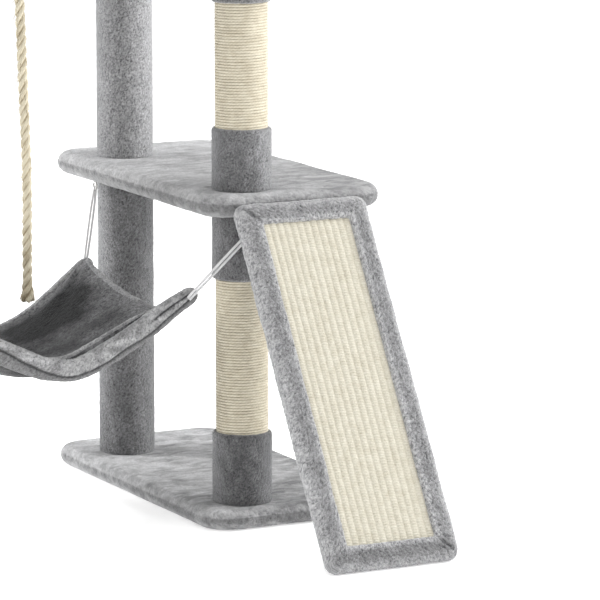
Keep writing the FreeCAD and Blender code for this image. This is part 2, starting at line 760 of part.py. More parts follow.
def make_ramp():
    """Make the leaning board, its plush cover and its sisal mat."""
    cover = ramp_body("ramp_cover")
    outline = new_sketch(cover, "ramp_cover_outline", "RampThickness / -2")
    draw_rounded_rectangle(outline, "RampWidth", RAMP_LENGTH, "RampCorner")
    pad(cover, outline, "RampThickness")
    half = value("RampThickness") / 2
    round_edges(cover, "RampThickness / 2 - EdgeFlat", level_edge(-half, half))
    shelf = "RampBoardThickness / 2"
    cavity = new_sketch(cover, "ramp_cavity", shelf)
    skin = "(RampThickness - RampBoardThickness)"
    draw_rounded_rectangle(cavity, f"RampWidth - {skin}", f"{RAMP_LENGTH} - {skin}",
                           "RampBoardCorner")
    pocket(cover, cavity, "RampBoardThickness")
    window = new_sketch(cover, "ramp_window", "RampThickness / 2")
    draw_rounded_rectangle(window, "RampWidth - 2 * RampBorder", "MatLength", "MatCorner")
    pocket(cover, window, "(RampThickness - RampBoardThickness) / 2")
    rear = new_sketch(cover, "ramp_rear_screws", "RampBoardThickness / -2")
    for across, along in ramp_screw_places():
        draw_circle(rear, across, along, "ScrewDiameter")
    pocket(cover, rear, "(RampThickness - RampBoardThickness) / 2")

    board = ramp_body("ramp_board")
    blank = new_sketch(board, "ramp_board_outline", "RampBoardThickness / -2")
    draw_rounded_rectangle(blank, f"RampWidth - {skin}", f"{RAMP_LENGTH} - {skin}",
                           "RampBoardCorner")
    pad(board, blank, "RampBoardThickness")
    pilots = new_sketch(board, "ramp_pilots", "RampBoardThickness / -2 + RampPilotDepth")
    for across, along in ramp_screw_places():
        draw_circle(pilots, across, along, "ScrewDiameter")
    pocket(board, pilots, "RampPilotDepth")

    mat = ramp_body("ramp_mat")
    weave = new_sketch(mat, "ramp_mat_outline", shelf)
    draw_rounded_rectangle(weave, "RampWidth - 2 * RampBorder", "MatLength", "MatCorner")
    pad(mat, weave, "MatThickness")


def ramp_screw_places():
    """List the bracket screws in the ramp's back, seen from the ramp's centre."""
    places = []
    for hand, offset in SCREW_SIGNS:
        x = f"BracketX - RampX + {hand} * BracketSpacing / 2 + {offset} * ScrewOffset"
        places.append((x, f"({RAMP_LENGTH}) / 2 - RampScrewInset"))
    return places


def make_brackets():
    """Make two bent steel straps that hang the ramp from the platform."""
    slope, length = ramp_pose()
    angle = math.radians(slope)
    along = FreeCAD.Vector(0, math.cos(angle), math.sin(angle))
    outward = FreeCAD.Vector(0, -math.sin(angle), math.cos(angle))
    thick, leg = SIZE["BracketThickness"], SIZE["BracketLeg"]
    underside = SIZE["MidUnderside"]
    half = SIZE["RampThickness"] / 2
    foot = FreeCAD.Vector(0, SIZE["RampFootY"], half)

    def meet(offset, height):
        """Find where a line parallel to the ramp crosses a height."""
        start = foot - outward * offset
        return start + along * ((height - start.z) / along.z)

    outer_bend = meet(half, underside)
    inner_bend = meet(half + thick, underside - thick)
    profile = [
        outer_bend,
        outer_bend + FreeCAD.Vector(0, leg, 0),
        outer_bend + FreeCAD.Vector(0, leg, -thick),
        inner_bend,
        inner_bend - along * leg,
        inner_bend - along * leg + outward * thick,
    ]
    straps = []
    for name, hand in TOWERS.items():
        face = Part.Face(Part.makePolygon(profile + profile[:1]))
        strap = face.extrude(FreeCAD.Vector(SIZE["BracketWidth"], 0, 0))
        centre = SIZE["BracketX"] + hand * SIZE["BracketSpacing"] / 2
        strap.translate(FreeCAD.Vector(centre - SIZE["BracketWidth"] / 2, 0, 0))
        straps.append(strap)
    screws = []
    shank, head, reach = SIZE["ScrewDiameter"] / 2, SIZE["ScrewHead"] / 2, SIZE["ScrewLength"]
    upright_y = SIZE["PlatformCentreY"] - SIZE["PlatformDepth"] / 2 + SIZE["ScrewInset"]
    down_slope = length / 2 + half - SIZE["RampScrewInset"]
    flange = SIZE["ScrewHeadHeight"]
    middle = FreeCAD.Vector(0, (SIZE["RampFootY"] + SIZE["RampTopY"]) / 2,
                            (SIZE["RampTopZ"] + half) / 2)
    for hand, offset in SCREW_SIGNS:
        x = SIZE["BracketX"] + hand * SIZE["BracketSpacing"] / 2 + offset * SIZE["ScrewOffset"]
        seats = [
            (FreeCAD.Vector(x, upright_y, underside - thick), FreeCAD.Vector(0, 0, 1)),
            (FreeCAD.Vector(x, 0, 0) + middle + along * down_slope
             - outward * (half + thick), outward),
        ]
        for seat, into in seats:
            screw = Part.makeCylinder(shank, reach + thick, seat, into)
            button = Part.makeCylinder(head, flange, seat - into * flange, into)
            screws.append(screw.fuse(button).removeSplitter())
            hole = Part.makeCylinder(shank, thick, seat, into)
            straps = [strap.cut(hole) for strap in straps]
    for label, shapes in (("ramp_brackets", straps), ("ramp_screws", screws)):
        item = doc.addObject("Part::Feature", label)
        item.Shape = Part.makeCompound(shapes)
        keep(item, label)


# --------------------------------------------------------------------- Rope


def make_rope():
    """Hang the rope from a screw eye, a link ring and a crimped end cap."""
    keep(screw_eye("rope_eye", "RopeEyeRing", "RopeX", "RopeY", "TopUnderside", (0, 1, 0)),
         "rope_eye")
    eye_wire = f"TopUnderside + {SCREWED_IN} - EyeShankLength + EyeSink - 2 * RopeEyeRing"
    step = "(EyeWire + CordGap)"
    link_centre = f"{eye_wire} + {step} - RopeEyeRing"
    keep(ring("rope_link", "RopeEyeRing", "EyeWire", "RopeX", "RopeY", link_centre, (1, 0, 0)),
         "rope_link")
    loop_centre = f"{link_centre} - RopeEyeRing + {step} - EyeRing"
    cap_top = f"{loop_centre} - EyeRing"
    loop = ring("cap_loop", "EyeRing", "EyeWire", "RopeX", "RopeY", loop_centre, (0, 1, 0))
    cup = cylinder("cap_cup", "RopeCapDiameter", "RopeCapLength", "RopeX", "RopeY",
                   f"{cap_top} - RopeCapLength")
    bore = cylinder("cap_bore", "RopeCapBore", "RopeCapLength - RopeCapWall", "RopeX", "RopeY",
                    f"{cap_top} - RopeCapLength")
    keep(cut("rope_cap", fuse("cap_blank", loop, cup), bore), "rope_cap")
    print("link hinge", value(eye_wire), "cap hinge", value(f"{link_centre} - RopeEyeRing"),
          "cap mouth", value(f"{cap_top} - RopeCapLength"))
    tube("dangling_rope", ROPE_ROUTE, SIZE["RopeDiameter"])


# -------------------------------------------------------------- The whole


def check_document():
    """Stop if any object failed or any sub-part has no sound shape."""
    for item in doc.Objects:
        if "Invalid" in item.State or "Error" in item.State:
            raise RuntimeError(f"{item.Label} failed: {item.State}")
    for item in parts:
        shape = item.Shape
        if shape.isNull() or not shape.isValid() or not shape.Solids:
            raise RuntimeError(f"{item.Label} has no sound shape")


def main():
    """Build every sub-part and write one STEP file for each."""
    for name, side in TOWERS.items():
        make_tower_boards(name, side)
        make_tubes(name, side)
        for storey in CLEAR_SPANS:
            make_front_post(name, side, storey)
            make_back_post(name, side, storey)
        make_studs(name, side)
        make_hooks(name, side)
    make_top_platform()
    make_bolts()
    make_hammock()
    make_hammock_cords()
    make_ramp()
    make_brackets()
    make_rope()
    doc.recompute()
    check_document()
    os.makedirs("parts", exist_ok=True)
    for item in parts:
        item.Shape.exportStep(f"parts/{item.Label}.step")
    print(len(parts), "sub-parts written")


main()
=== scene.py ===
"""Looks of the two-tower cat tree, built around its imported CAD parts. Metres, +Z up."""

import itertools
import math

import bpy
import numpy as np
from mathutils import Matrix, Vector


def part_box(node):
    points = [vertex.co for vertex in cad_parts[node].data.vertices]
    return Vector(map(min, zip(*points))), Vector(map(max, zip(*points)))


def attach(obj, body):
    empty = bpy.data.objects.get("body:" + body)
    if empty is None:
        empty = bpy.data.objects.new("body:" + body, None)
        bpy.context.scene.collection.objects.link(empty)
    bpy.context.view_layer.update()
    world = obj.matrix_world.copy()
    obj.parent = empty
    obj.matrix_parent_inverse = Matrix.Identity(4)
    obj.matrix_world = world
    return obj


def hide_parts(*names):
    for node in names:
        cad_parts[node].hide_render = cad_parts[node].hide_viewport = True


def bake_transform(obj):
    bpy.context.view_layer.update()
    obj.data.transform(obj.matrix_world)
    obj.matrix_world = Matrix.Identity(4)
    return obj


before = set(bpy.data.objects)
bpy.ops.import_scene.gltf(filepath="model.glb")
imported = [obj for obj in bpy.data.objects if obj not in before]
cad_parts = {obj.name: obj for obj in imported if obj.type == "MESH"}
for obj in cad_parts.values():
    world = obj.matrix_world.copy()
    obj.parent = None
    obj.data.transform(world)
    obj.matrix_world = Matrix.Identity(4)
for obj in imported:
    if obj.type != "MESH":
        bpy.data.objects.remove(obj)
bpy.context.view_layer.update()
TOWERS = {"left": -1, "right": 1}
FLOOR_GAP = 0.0004



def add_object(name, data):
    """Put a new object in the scene."""
    obj = bpy.data.objects.new(name, data)
    bpy.context.scene.collection.objects.link(obj)
    return obj


def unit(vectors):
    """Make each vector 1 long."""
    return vectors / np.maximum(np.linalg.norm(vectors, axis=-1, keepdims=True), 1e-12)


def circle(count):
    """Angles evenly round a circle."""
    return np.linspace(0, 2 * math.pi, count, endpoint=False)


# ---- Camera

LENS_MM = 248.9
SENSOR_MM = 36.0
EYE = Vector((-2.428, -5.592, 1.415))
RIGHT = Vector((0.8896, -0.4568, 0.0))
PITCH = math.radians(9.9)
FORWARD = Vector((0.4568 * math.cos(PITCH), 0.8896 * math.cos(PITCH), -math.sin(PITCH)))


def make_camera():
    """Look from front left, slightly down, through a long lens."""
    camera = add_object("camera", bpy.data.cameras.new("camera"))
    up = RIGHT.cross(FORWARD)
    turn = Matrix((RIGHT, up, -FORWARD)).transposed()
    camera.matrix_world = Matrix.Translation(EYE) @ turn.to_4x4()
    camera.data.lens = LENS_MM
    camera.data.sensor_width = SENSOR_MM
    camera.data.clip_end = 60.0
    bpy.context.scene.camera = camera


# ---- Noise


GRADIENTS = unit(np.random.RandomState(11).normal(size=(256, 3)))
SHUFFLE = np.random.RandomState(12).permutation(256)


def noise(points, seed=0):
    """Smooth gradient noise, from about -1 to 1."""
    points = np.asarray(points, float) + seed * 31.7
    cell = np.floor(points).astype(int)
    part = points - cell
    fade = part**3 * (part * (part * 6 - 15) + 10)
    total = np.zeros(len(points))
    for corner in itertools.product((0, 1), repeat=3):
        at = cell + corner
        index = SHUFFLE[at[:, 0] & 255]
        index = SHUFFLE[(index + at[:, 1]) & 255]
        index = SHUFFLE[(index + at[:, 2]) & 255]
        dot = (GRADIENTS[index] * (part - corner)).sum(1)
        weight = np.where(corner, fade, 1 - fade).prod(1)
        total += dot * weight
    return total * 1.6


def line_noise(values, row, seed):
    """Noise along a line of numbers, on its own row."""
    return noise(np.stack([values, values * 0, values * 0 + row], axis=1), seed)


def smooth(low, high, values):
    """Ease from 0 at low to 1 at high."""
    t = np.clip((values - low) / (high - low), 0, 1)
    return t * t * (3 - 2 * t)


# The height of curly pile at which a cover keeps its plain surface.
PILE_LEVEL = 0.62


def curls(points, size, stretch=(1, 1, 1), seed=0):
    """Height of curly pile from 0 to 1, in curls about size across."""
    p = points / (size * np.array(stretch))
    warp = np.stack([noise(p * 0.6, seed + k) for k in range(3)], axis=1)
    q = p + 0.8 * warp
    body = noise(q, seed + 4)
    ridge = 1 - 2.4 * np.abs(noise(q * 0.8, seed + 6))
    fine = noise(q * 2.1, seed + 5)
    return np.clip(0.52 + 0.18 * ridge + 0.38 * body + 0.32 * fine, 0, 1)


def brushed(points, size, stretch=(1, 1, 1), seed=0):
    """Light and dark patches where a hand has brushed the pile, from 0 to 1."""
    p = points / (size * np.array(stretch))
    warp = np.stack([noise(p * 0.8, seed + 20 + k) for k in range(3)], axis=1)
    broad = noise(p + 0.9 * warp, seed + 24)
    narrow = noise(p * 2.2 + 1.2 * warp, seed + 25)
    return np.clip(0.5 + 0.50 * broad + 0.35 * narrow, 0, 1)


# ---- Meshes


def mesh_object(name, points, faces, facts=None):
    """Make a smooth-shaded object from arrays, with float facts at its vertices."""
    mesh = bpy.data.meshes.new(name)
    mesh.from_pydata([], [], [])
    points = np.asarray(points, np.float32)
    faces = np.asarray(faces, np.int32)
    mesh.vertices.add(len(points))
    mesh.vertices.foreach_set("co", points.ravel())
    mesh.loops.add(faces.size)
    mesh.loops.foreach_set("vertex_index", faces.ravel())
    mesh.polygons.add(len(faces))
    mesh.polygons.foreach_set("loop_start", np.arange(len(faces), dtype=np.int32) * faces.shape[1])
    mesh.update(calc_edges=True)
    mesh.validate()
    mesh.polygons.foreach_set("use_smooth", np.ones(len(mesh.polygons), bool))
    for fact, values in (facts or {}).items():
        attribute = mesh.attributes.new(fact, "FLOAT", "POINT")
        attribute.data.foreach_set("value", np.asarray(values, np.float32))
    mesh.update()
    return add_object(name, mesh)


def grid_faces(rows, columns, around=False):
    """Quads between the rows of a grid of vertices, which may close on itself."""
    index = np.arange(rows * columns).reshape(rows, columns)
    if around:
        index = np.concatenate([index, index[:, :1]], axis=1)
    quads = [index[:-1, :-1], index[:-1, 1:], index[1:, 1:], index[1:, :-1]]
    return np.stack([q.ravel() for q in quads], axis=1)


def belt(upper, lower):
    """Quads between two loops of as many vertices."""
    return np.stack([upper, lower, np.roll(lower, -1), np.roll(upper, -1)], axis=1)


def loops(start, count, size):
    """Vertex numbers of loops of one size that follow one another."""
    return list(start + np.arange(count * size).reshape(count, size))


def joined(meshes):
    """Put the vertices and the faces of several meshes together."""
    points, faces = zip(*meshes)
    starts = np.cumsum([0, *(len(p) for p in points)])
    return np.concatenate(points), np.concatenate([f + n for f, n in zip(faces, starts)])


def node_box(node):
    """The corners and the centre of a CAD node's box."""
    low, high = (np.array(corner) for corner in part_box(node))
    return low, high, (low + high) / 2


def finish_piece(obj, body, material, nodes=()):
    """Give a piece its material and body, and hide the CAD nodes that it stands for."""
    obj.data.materials.clear()
    obj.data.materials.append(material)
    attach(obj, body)
    if nodes:
        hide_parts(*nodes)
    return obj


# ---- Materials


class Nodes:
    """A material's node tree, with short ways to add to it."""

    def __init__(self, name, **shader):
        self.material = bpy.data.materials.new(name)
        self.material.use_nodes = True
        self.tree = self.material.node_tree
        self.shader = self.tree.nodes["Principled BSDF"]
        for socket, amount in shader.items():
            self.shader.inputs[socket.replace("_", " ")].default_value = amount

    def add(self, kind, **inputs):
        """Add a node. Inputs are values or output sockets; other names are its settings."""
        node = self.tree.nodes.new(kind)
        for key, amount in inputs.items():
            key = key.replace("_", " ")
            if hasattr(node, key.replace(" ", "_")):
                setattr(node, key.replace(" ", "_"), amount)
            elif isinstance(amount, bpy.types.NodeSocket):
                self.tree.links.new(amount, node.inputs[key])
            else:
                node.inputs[key].default_value = amount
        return node

    def fact(self, name):
        """Read a float stored at the mesh's vertices."""
        return self.add("ShaderNodeAttribute", attribute_name=name).outputs["Fac"]

    def place(self, scale=(1, 1, 1)):
        """Object coordinates, scaled along each axis."""
        at = self.add("ShaderNodeTexCoord").outputs["Object"]
        return self.add("ShaderNodeMapping", Vector=at, Scale=scale).outputs["Vector"]

    def speckle(self, size, detail=2.0, where=None, rough=0.55):
        """Noise with grains about size across."""
        return self.add("ShaderNodeTexNoise", Vector=where or self.place(), Scale=1 / size,
                        Detail=detail, Roughness=rough).outputs["Fac"]

    def sum(self, *terms):
        """Add numbers up. Each term is an output socket and its weight."""
        total = None
        for socket, weight in terms:
            node = self.add("ShaderNodeMath", operation="MULTIPLY_ADD")
            node.inputs[1].default_value = weight
            node.inputs[2].default_value = 0.0
            self.tree.links.new(socket, node.inputs[0])
            if total:
                self.tree.links.new(total, node.inputs[2])
            total = node.outputs["Value"]
        return total

    def ramp(self, factor, *stops):
        """Colours along a factor, each stop a place and a colour."""
        node = self.add("ShaderNodeValToRGB", Fac=factor)
        band = node.color_ramp.elements
        while len(band) < len(stops):
            band.new(0.5)
        for element, (at, colour) in zip(band, stops):
            element.position = at
            element.color = (*colour, 1.0)
        return node.outputs["Color"]

    def blend(self, factor, first, second, kind="MIX"):
        """Mix two colours."""
        node = self.add("ShaderNodeMixRGB", blend_type=kind, Fac=factor)
        for socket, colour in zip(list(node.inputs)[1:], (first, second)):
            if isinstance(colour, bpy.types.NodeSocket):
                self.tree.links.new(colour, socket)
            else:
                socket.default_value = (*colour, 1.0)
        return node.outputs["Color"]

    def grey(self, amount):
        """A number as a grey colour."""
        return self.add("ShaderNodeCombineColor", Red=amount, Green=amount,
                        Blue=amount).outputs["Color"]

    def colour(self, socket):
        """Drive the base colour."""
        self.tree.links.new(socket, self.shader.inputs["Base Color"])

    def spread(self, factor, low, high):
        """Stretch a number from 0 to 1 between two amounts."""
        return self.add("ShaderNodeMapRange", Value=factor, To_Min=low,
                        To_Max=high).outputs["Result"]

    def roughen(self, factor, low, high):
        """Drive the roughness between two amounts."""
        self.tree.links.new(self.spread(factor, low, high), self.shader.inputs["Roughness"])

    def bump(self, height, distance, strength=1.0):
        """Drive the normal."""
        node = self.add("ShaderNodeBump", Height=height, Distance=distance, Strength=strength)
        self.tree.links.new(node.outputs["Normal"], self.shader.inputs["Normal"])


def plush(name, root, tip, patch=(0.78, 1.18), sheen=0.35):
    """Short curly plush: dark at the roots, light at the tips, in brushed patches and painted light
    and shade.
    """
    n = Nodes(name, Roughness=0.95, Specular_IOR_Level=0.12, Sheen_Weight=sheen,
              Sheen_Roughness=0.45)
    n.shader.inputs["Sheen Tint"].default_value = (0.93, 0.94, 0.96, 1.0)
    fibre = n.speckle(0.0016, 3.0, rough=0.7)
    strand = n.speckle(0.0007, 1.0)
    height = n.sum((n.fact("pile"), 0.58), (fibre, 0.68))
    middle = [(a + b) / 2 for a, b in zip(root, tip)]
    pile = n.ramp(height, (0.44, root), (0.655, middle), (0.87, tip))
    # The brush fact carries brushed patches and painted light and shade, spread between the two
    # patch amounts.
    n.colour(n.blend(1.0, pile, n.grey(n.spread(n.fact("brush_and_shade"), *patch)), "MULTIPLY"))
    n.roughen(fibre, 0.86, 1.0)
    n.bump(n.sum((fibre, 1.0), (strand, 0.5)), 0.0016, 0.9)
    return n.material


def sisal(name, deep, pale, along=0.012, across=0.0007, relief=0.16):
    """Pale plant fibre that runs along the cord, with darker strands in it."""
    n = Nodes(name, Roughness=0.85, Specular_IOR_Level=0.22, Sheen_Weight=0.12,
              Sheen_Roughness=0.4)
    where = n.add("ShaderNodeCombineXYZ", X=n.fact("run"), Y=n.fact("turn"),
                  Z=n.fact("lane")).outputs["Vector"]
    laid = n.add("ShaderNodeMapping", Vector=where,
                 Scale=(1 / along, 1 / across, 1.0)).outputs["Vector"]
    fibre = n.add("ShaderNodeTexNoise", Vector=laid, Scale=1.0, Detail=3.0,
                  Roughness=0.65).outputs["Fac"]
    cloudy = n.speckle(0.012)
    # Painted shade: the relief fact paints the grooves darker and the crowns lighter.
    tone = n.sum((fibre, 0.62), (cloudy, 0.38), (n.fact("relief"), relief))
    middle = [0.45 * a + 0.55 * b for a, b in zip(deep, pale)]
    n.colour(n.ramp(tone, (0.32, deep), (0.52, middle), (0.72, pale)))
    n.roughen(fibre, 0.74, 0.95)
    n.bump(fibre, 0.0006, 0.7)
    return n.material


def braided(name):
    """White braided cord."""
    n = Nodes(name, Roughness=0.5, Specular_IOR_Level=0.4, Sheen_Weight=0.2)
    fibre = n.speckle(0.0005)
    dirt = n.speckle(0.02)
    # Painted shade: the relief fact paints the braid's grooves darker.
    tone = n.sum((n.fact("relief"), 0.6), (dirt, 0.4))
    n.colour(n.ramp(tone, (0.1, (0.45, 0.45, 0.46)), (0.8, (0.84, 0.84, 0.84))))
    n.roughen(fibre, 0.42, 0.65)
    n.bump(fibre, 0.0003, 0.5)
    return n.material


def particle_board(name):
    """Pressed wood chips."""
    n = Nodes(name, Roughness=0.8, Specular_IOR_Level=0.2)
    chips = n.add("ShaderNodeTexVoronoi", Vector=n.place((1.0, 1.0, 2.4)), Scale=240.0)
    dust = n.speckle(0.0012, 3.0)
    tone = n.blend(0.45, chips.outputs["Color"], n.grey(dust))
    flat = n.add("ShaderNodeRGBToBW", Color=tone).outputs["Val"]
    n.colour(n.ramp(flat, (0.2, (0.32, 0.20, 0.10)), (0.5, (0.52, 0.37, 0.21)),
                    (0.8, (0.68, 0.54, 0.35))))
    n.roughen(dust, 0.7, 0.9)
    n.bump(flat, 0.0006, 0.5)
    return n.material


def cardboard(name):
    """Wound paper tube."""
    n = Nodes(name, Roughness=0.9, Specular_IOR_Level=0.15)
    fibre = n.speckle(0.002, 4.0, n.place((1.0, 1.0, 3.0)))
    wraps = n.add("ShaderNodeTexWave", Vector=n.place((0.4, 0.4, 1.0)), Scale=6.0,
                  Distortion=1.5).outputs["Fac"]
    tone = n.sum((fibre, 0.8), (wraps, 0.2))
    n.colour(n.ramp(tone, (0.25, (0.24, 0.16, 0.09)), (0.75, (0.44, 0.32, 0.20))))
    n.roughen(fibre, 0.8, 0.95)
    n.bump(fibre, 0.0004, 0.5)
    return n.material


def plastic(name):
    """Black moulded plastic."""
    n = Nodes(name, Roughness=0.5, Specular_IOR_Level=0.45)
    grain = n.speckle(0.0006)
    n.colour(n.ramp(grain, (0.3, (0.018, 0.018, 0.02)), (0.7, (0.045, 0.045, 0.048))))
    n.roughen(grain, 0.4, 0.62)
    n.bump(grain, 0.0002, 0.4)
    return n.material


def zinc(name):
    """Zinc-plated steel with a faint brushed grain."""
    n = Nodes(name, Metallic=1.0, Roughness=0.35)
    grain = n.speckle(0.0008, 4.0, n.place((1.0, 1.0, 0.15)))
    cloud = n.speckle(0.006)
    tone = n.sum((grain, 0.5), (cloud, 0.5))
    n.colour(n.ramp(tone, (0.3, (0.50, 0.50, 0.49)), (0.7, (0.74, 0.74, 0.72))))
    n.roughen(tone, 0.26, 0.48)
    n.bump(grain, 0.0001, 0.4)
    return n.material


PLUSH_TOP = plush("plush_light", (0.19, 0.19, 0.195), (0.53, 0.53, 0.535), (0.48, 1.36))
PLUSH_POST = plush("plush_dark", (0.045, 0.045, 0.047), (0.27, 0.27, 0.275), (0.50, 2.60), 0.9)
# The hammock's plush is a darker copy of the light plush, partly its own darker tone and partly
# painted shade.
PLUSH_HAMMOCK_SHADED = plush("plush_hammock_shaded", (0.014, 0.014, 0.015), (0.18, 0.18, 0.183), (0.12, 1.9),
                      0.20)
PLUSH_HEM = plush("plush_hem", (0.12, 0.12, 0.123), (0.58, 0.58, 0.585), (0.5, 1.2))
PLUSH_RAMP = plush("plush_ramp", (0.105, 0.105, 0.11), (0.45, 0.45, 0.455), (0.62, 1.38))
SISAL_WRAP = sisal("sisal_wrap", (0.44, 0.375, 0.265), (0.74, 0.695, 0.57))
SISAL_MAT = sisal("sisal_mat", (0.40, 0.36, 0.27), (0.61, 0.585, 0.50), 0.003, 0.002, 0.08)
SISAL_ROPE = sisal("sisal_rope", (0.34, 0.26, 0.14), (0.84, 0.77, 0.60), 0.02, 0.0006, 0.24)
CORD = braided("white_cord")
BOARD = particle_board("particle_board")
TUBE = cardboard("cardboard")
PLUG = plastic("black_plastic")
STEEL = zinc("zinc_steel")

# ---- Cords and rope

# Rope route from inside its end cap down to the frayed end.
ROPE_ROUTE = [
    (0.0220, 0.0960, 0.8520),
    (0.0216, 0.0962, 0.8000),
    (0.0234, 0.0954, 0.7350),
    (0.0264, 0.0966, 0.6600),
    (0.0294, 0.0960, 0.5750),
    (0.0304, 0.0948, 0.4900),
    (0.0292, 0.0956, 0.4100),
    (0.0298, 0.0960, 0.3350),
]
ROPE_LAY = 0.050
ROPE_END = 0.3325
STRAND_OFFSET = 0.00395
STRAND_RADIUS = 0.00390
STRAND_LAY = 0.028
STRAND_GRAIN = 0.00385

# Hammock cords: lower end at the bed's corner and the eye that it loops round.
CORD_DIAMETER = 0.004
CORD_LAY = 0.011
CORD_TURN = 0.00415
CORD_FOOT = 0.0021
HAMMOCK_TIES = {
    "front": ((0.203, -0.1050, 0.355), (0.304, -0.130, 0.461)),
    "back": ((0.219, 0.303, 0.350), (0.245, 0.322, 0.461)),
}


def spline_points(route, resolution):
    """Points along a smooth spline whose control points are the route's."""
    curve = bpy.data.curves.new("route", "CURVE")
    curve.dimensions = "3D"
    spline = curve.splines.new("NURBS")
    spline.points.add(len(route) - 1)
    for point, at in zip(spline.points, route):
        point.co = (*at, 1.0)
    spline.order_u = 3
    spline.use_endpoint_u = True
    spline.resolution_u = resolution
    holder = add_object("route", curve)
    bpy.context.view_layer.update()
    seen = holder.evaluated_get(bpy.context.evaluated_depsgraph_get())
    mesh = bpy.data.meshes.new_from_object(seen)
    points = np.array([v.co for v in mesh.vertices], float)
    bpy.data.objects.remove(holder)
    bpy.data.curves.remove(curve)
    bpy.data.meshes.remove(mesh)
    if np.linalg.norm(points[0] - route[0]) > np.linalg.norm(points[-1] - route[0]):
        points = points[::-1]
    return points


def distances(points):
    """How far along a line each of its points is."""
    gaps = np.linalg.norm(np.diff(points, axis=0), axis=1)
    return np.concatenate([[0], np.cumsum(gaps)])


def evenly(points, step):
    """Points a fixed step apart along a line of points, and how far along each is."""
    far = distances(points)
    keep = np.diff(far, prepend=-1) > 1e-7
    points, far = points[keep], far[keep]
    along = np.linspace(0, far[-1], max(2, round(far[-1] / step) + 1))
    return np.stack([np.interp(along, far, points[:, k]) for k in range(3)], axis=1), along


def frames(points):
    """Two directions across a line at each of its points, without twist."""
    tangents = unit(np.gradient(points, axis=0))
    across = [unit(np.cross(tangents[0], (0.0, 1.0, 0.2)))]
    for tangent in tangents[1:]:
        across.append(unit(across[-1] - tangent * (across[-1] @ tangent)))
    return np.array(across), np.cross(tangents, across)


def tube_rings(points, along, radii, sides, plies, lay, depth):
    """Rings round a line, ridged by the plies twisted in it."""
    first, second = frames(points)
    angle = circle(sides)
    phase = plies * (angle[None, :] - 2 * math.pi * along[:, None] / lay)
    relief = 0.5 + 0.5 * np.cos(phase)
    radius = np.asarray(radii)[:, None] * (1 - depth + depth * relief)
    ring = (points[:, None, :] + radius[..., None] * (
        np.cos(angle)[None, :, None] * first[:, None, :]
        + np.sin(angle)[None, :, None] * second[:, None, :]))
    return ring, relief, np.broadcast_to(angle, relief.shape)


def closed_tube(ring):
    """Vertices and quads of a tube whose ends are drawn in to a point."""
    rows, sides, _ = ring.shape
    ends = ring[[0, -1]]
    caps = ends.mean(axis=1, keepdims=True) * 0.999 + ends * 0.001
    points = np.concatenate([caps[:1], ring, caps[1:]]).reshape(-1, 3)
    return points, grid_faces(rows + 2, sides, around=True)


def pad_ends(values):
    """Repeat the first and last rows for the tube's drawn-in ends."""
    return np.concatenate([values[:1], values, values[-1:]]).ravel()


def make_hammock_cords():
    """Tie each corner of the bed to its eye with a doubled cord."""
    for end, (lower, upper) in HAMMOCK_TIES.items():
        for name, side in TOWERS.items():
            low, high = Vector(lower), Vector(upper)
            heading = (high - low).normalized()
            spread = heading.cross(Vector((0, 1, 0))).normalized()
            over = high + heading * CORD_TURN
            route = [low - spread * CORD_FOOT, over - spread * CORD_TURN,
                     over + spread * CORD_TURN, low + spread * CORD_FOOT]
            route = [(side * p.x, p.y, p.z) for p in route]
            points, along = evenly(spline_points(route, 48), 0.0011)
            radii = np.full(len(points), CORD_DIAMETER / 2)
            ring, relief, _ = tube_rings(points, along, radii, 14, 5, CORD_LAY, 0.12)
            vertices, faces = closed_tube(ring)
            label = f"hammock_cord_{end}_{name}"
            cord = mesh_object(f"{label}_braid", vertices, faces, {"relief": pad_ends(relief)})
            cord.data.materials.append(CORD)
            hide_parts(label)
            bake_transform(cord)


def make_rope():
    """Lay three strands round the rope's route, and open them at the cut end."""
    points, along = evenly(spline_points(ROPE_ROUTE, 40), 0.0016)
    first, second = frames(points)
    length = along[-1]
    flare = smooth(length - 0.034, length, along)
    strands, relief, run, turn, lane = [], [], [], [], []
    for strand in range(3):
        phase = 2 * math.pi * (strand / 3 + along / ROPE_LAY)
        offset = STRAND_OFFSET + 0.0022 * flare
        line = points + offset[:, None] * (np.cos(phase)[:, None] * first
                                           + np.sin(phase)[:, None] * second)
        uneven = 0.04 * line_noise(along * 60, 0, strand)
        radii = STRAND_RADIUS * (1 + uneven) * (1 + 0.18 * flare)
        ring, ridges, angle = tube_rings(line, along, radii, 20, 7, STRAND_LAY, 0.13)
        strands.append(closed_tube(ring))
        # Painted shade: the strands are painted darker where they face the rope's middle and in
        # their ply grooves; worn adds random wear along them.
        deep = smooth(0.0040, 0.0072, np.linalg.norm(ring - points[:, None], axis=2))
        worn = 0.30 + 0.7 * line_noise(along * 14, strand / 2, 7)
        worn -= 0.25 * smooth(length - 0.14, length, along)
        relief.append(pad_ends(0.35 * ridges + 0.8 * (deep - 0.55) + worn[:, None]))
        run.append(pad_ends(np.broadcast_to(along[:, None], ridges.shape)))
        turn.append(pad_ends(STRAND_GRAIN * angle - 0.02 * along[:, None]))
        lane.append(np.full(len(turn[-1]), strand * 3.7))
    facts = {"relief": relief, "run": run, "turn": turn, "lane": lane}
    rope = mesh_object("rope_strands", *joined(strands),
                       {key: np.concatenate(values) for key, values in facts.items()})
    fray = make_fray(points, first, second)
    finish_piece(rope, "rope", SISAL_ROPE, ["dangling_rope"])


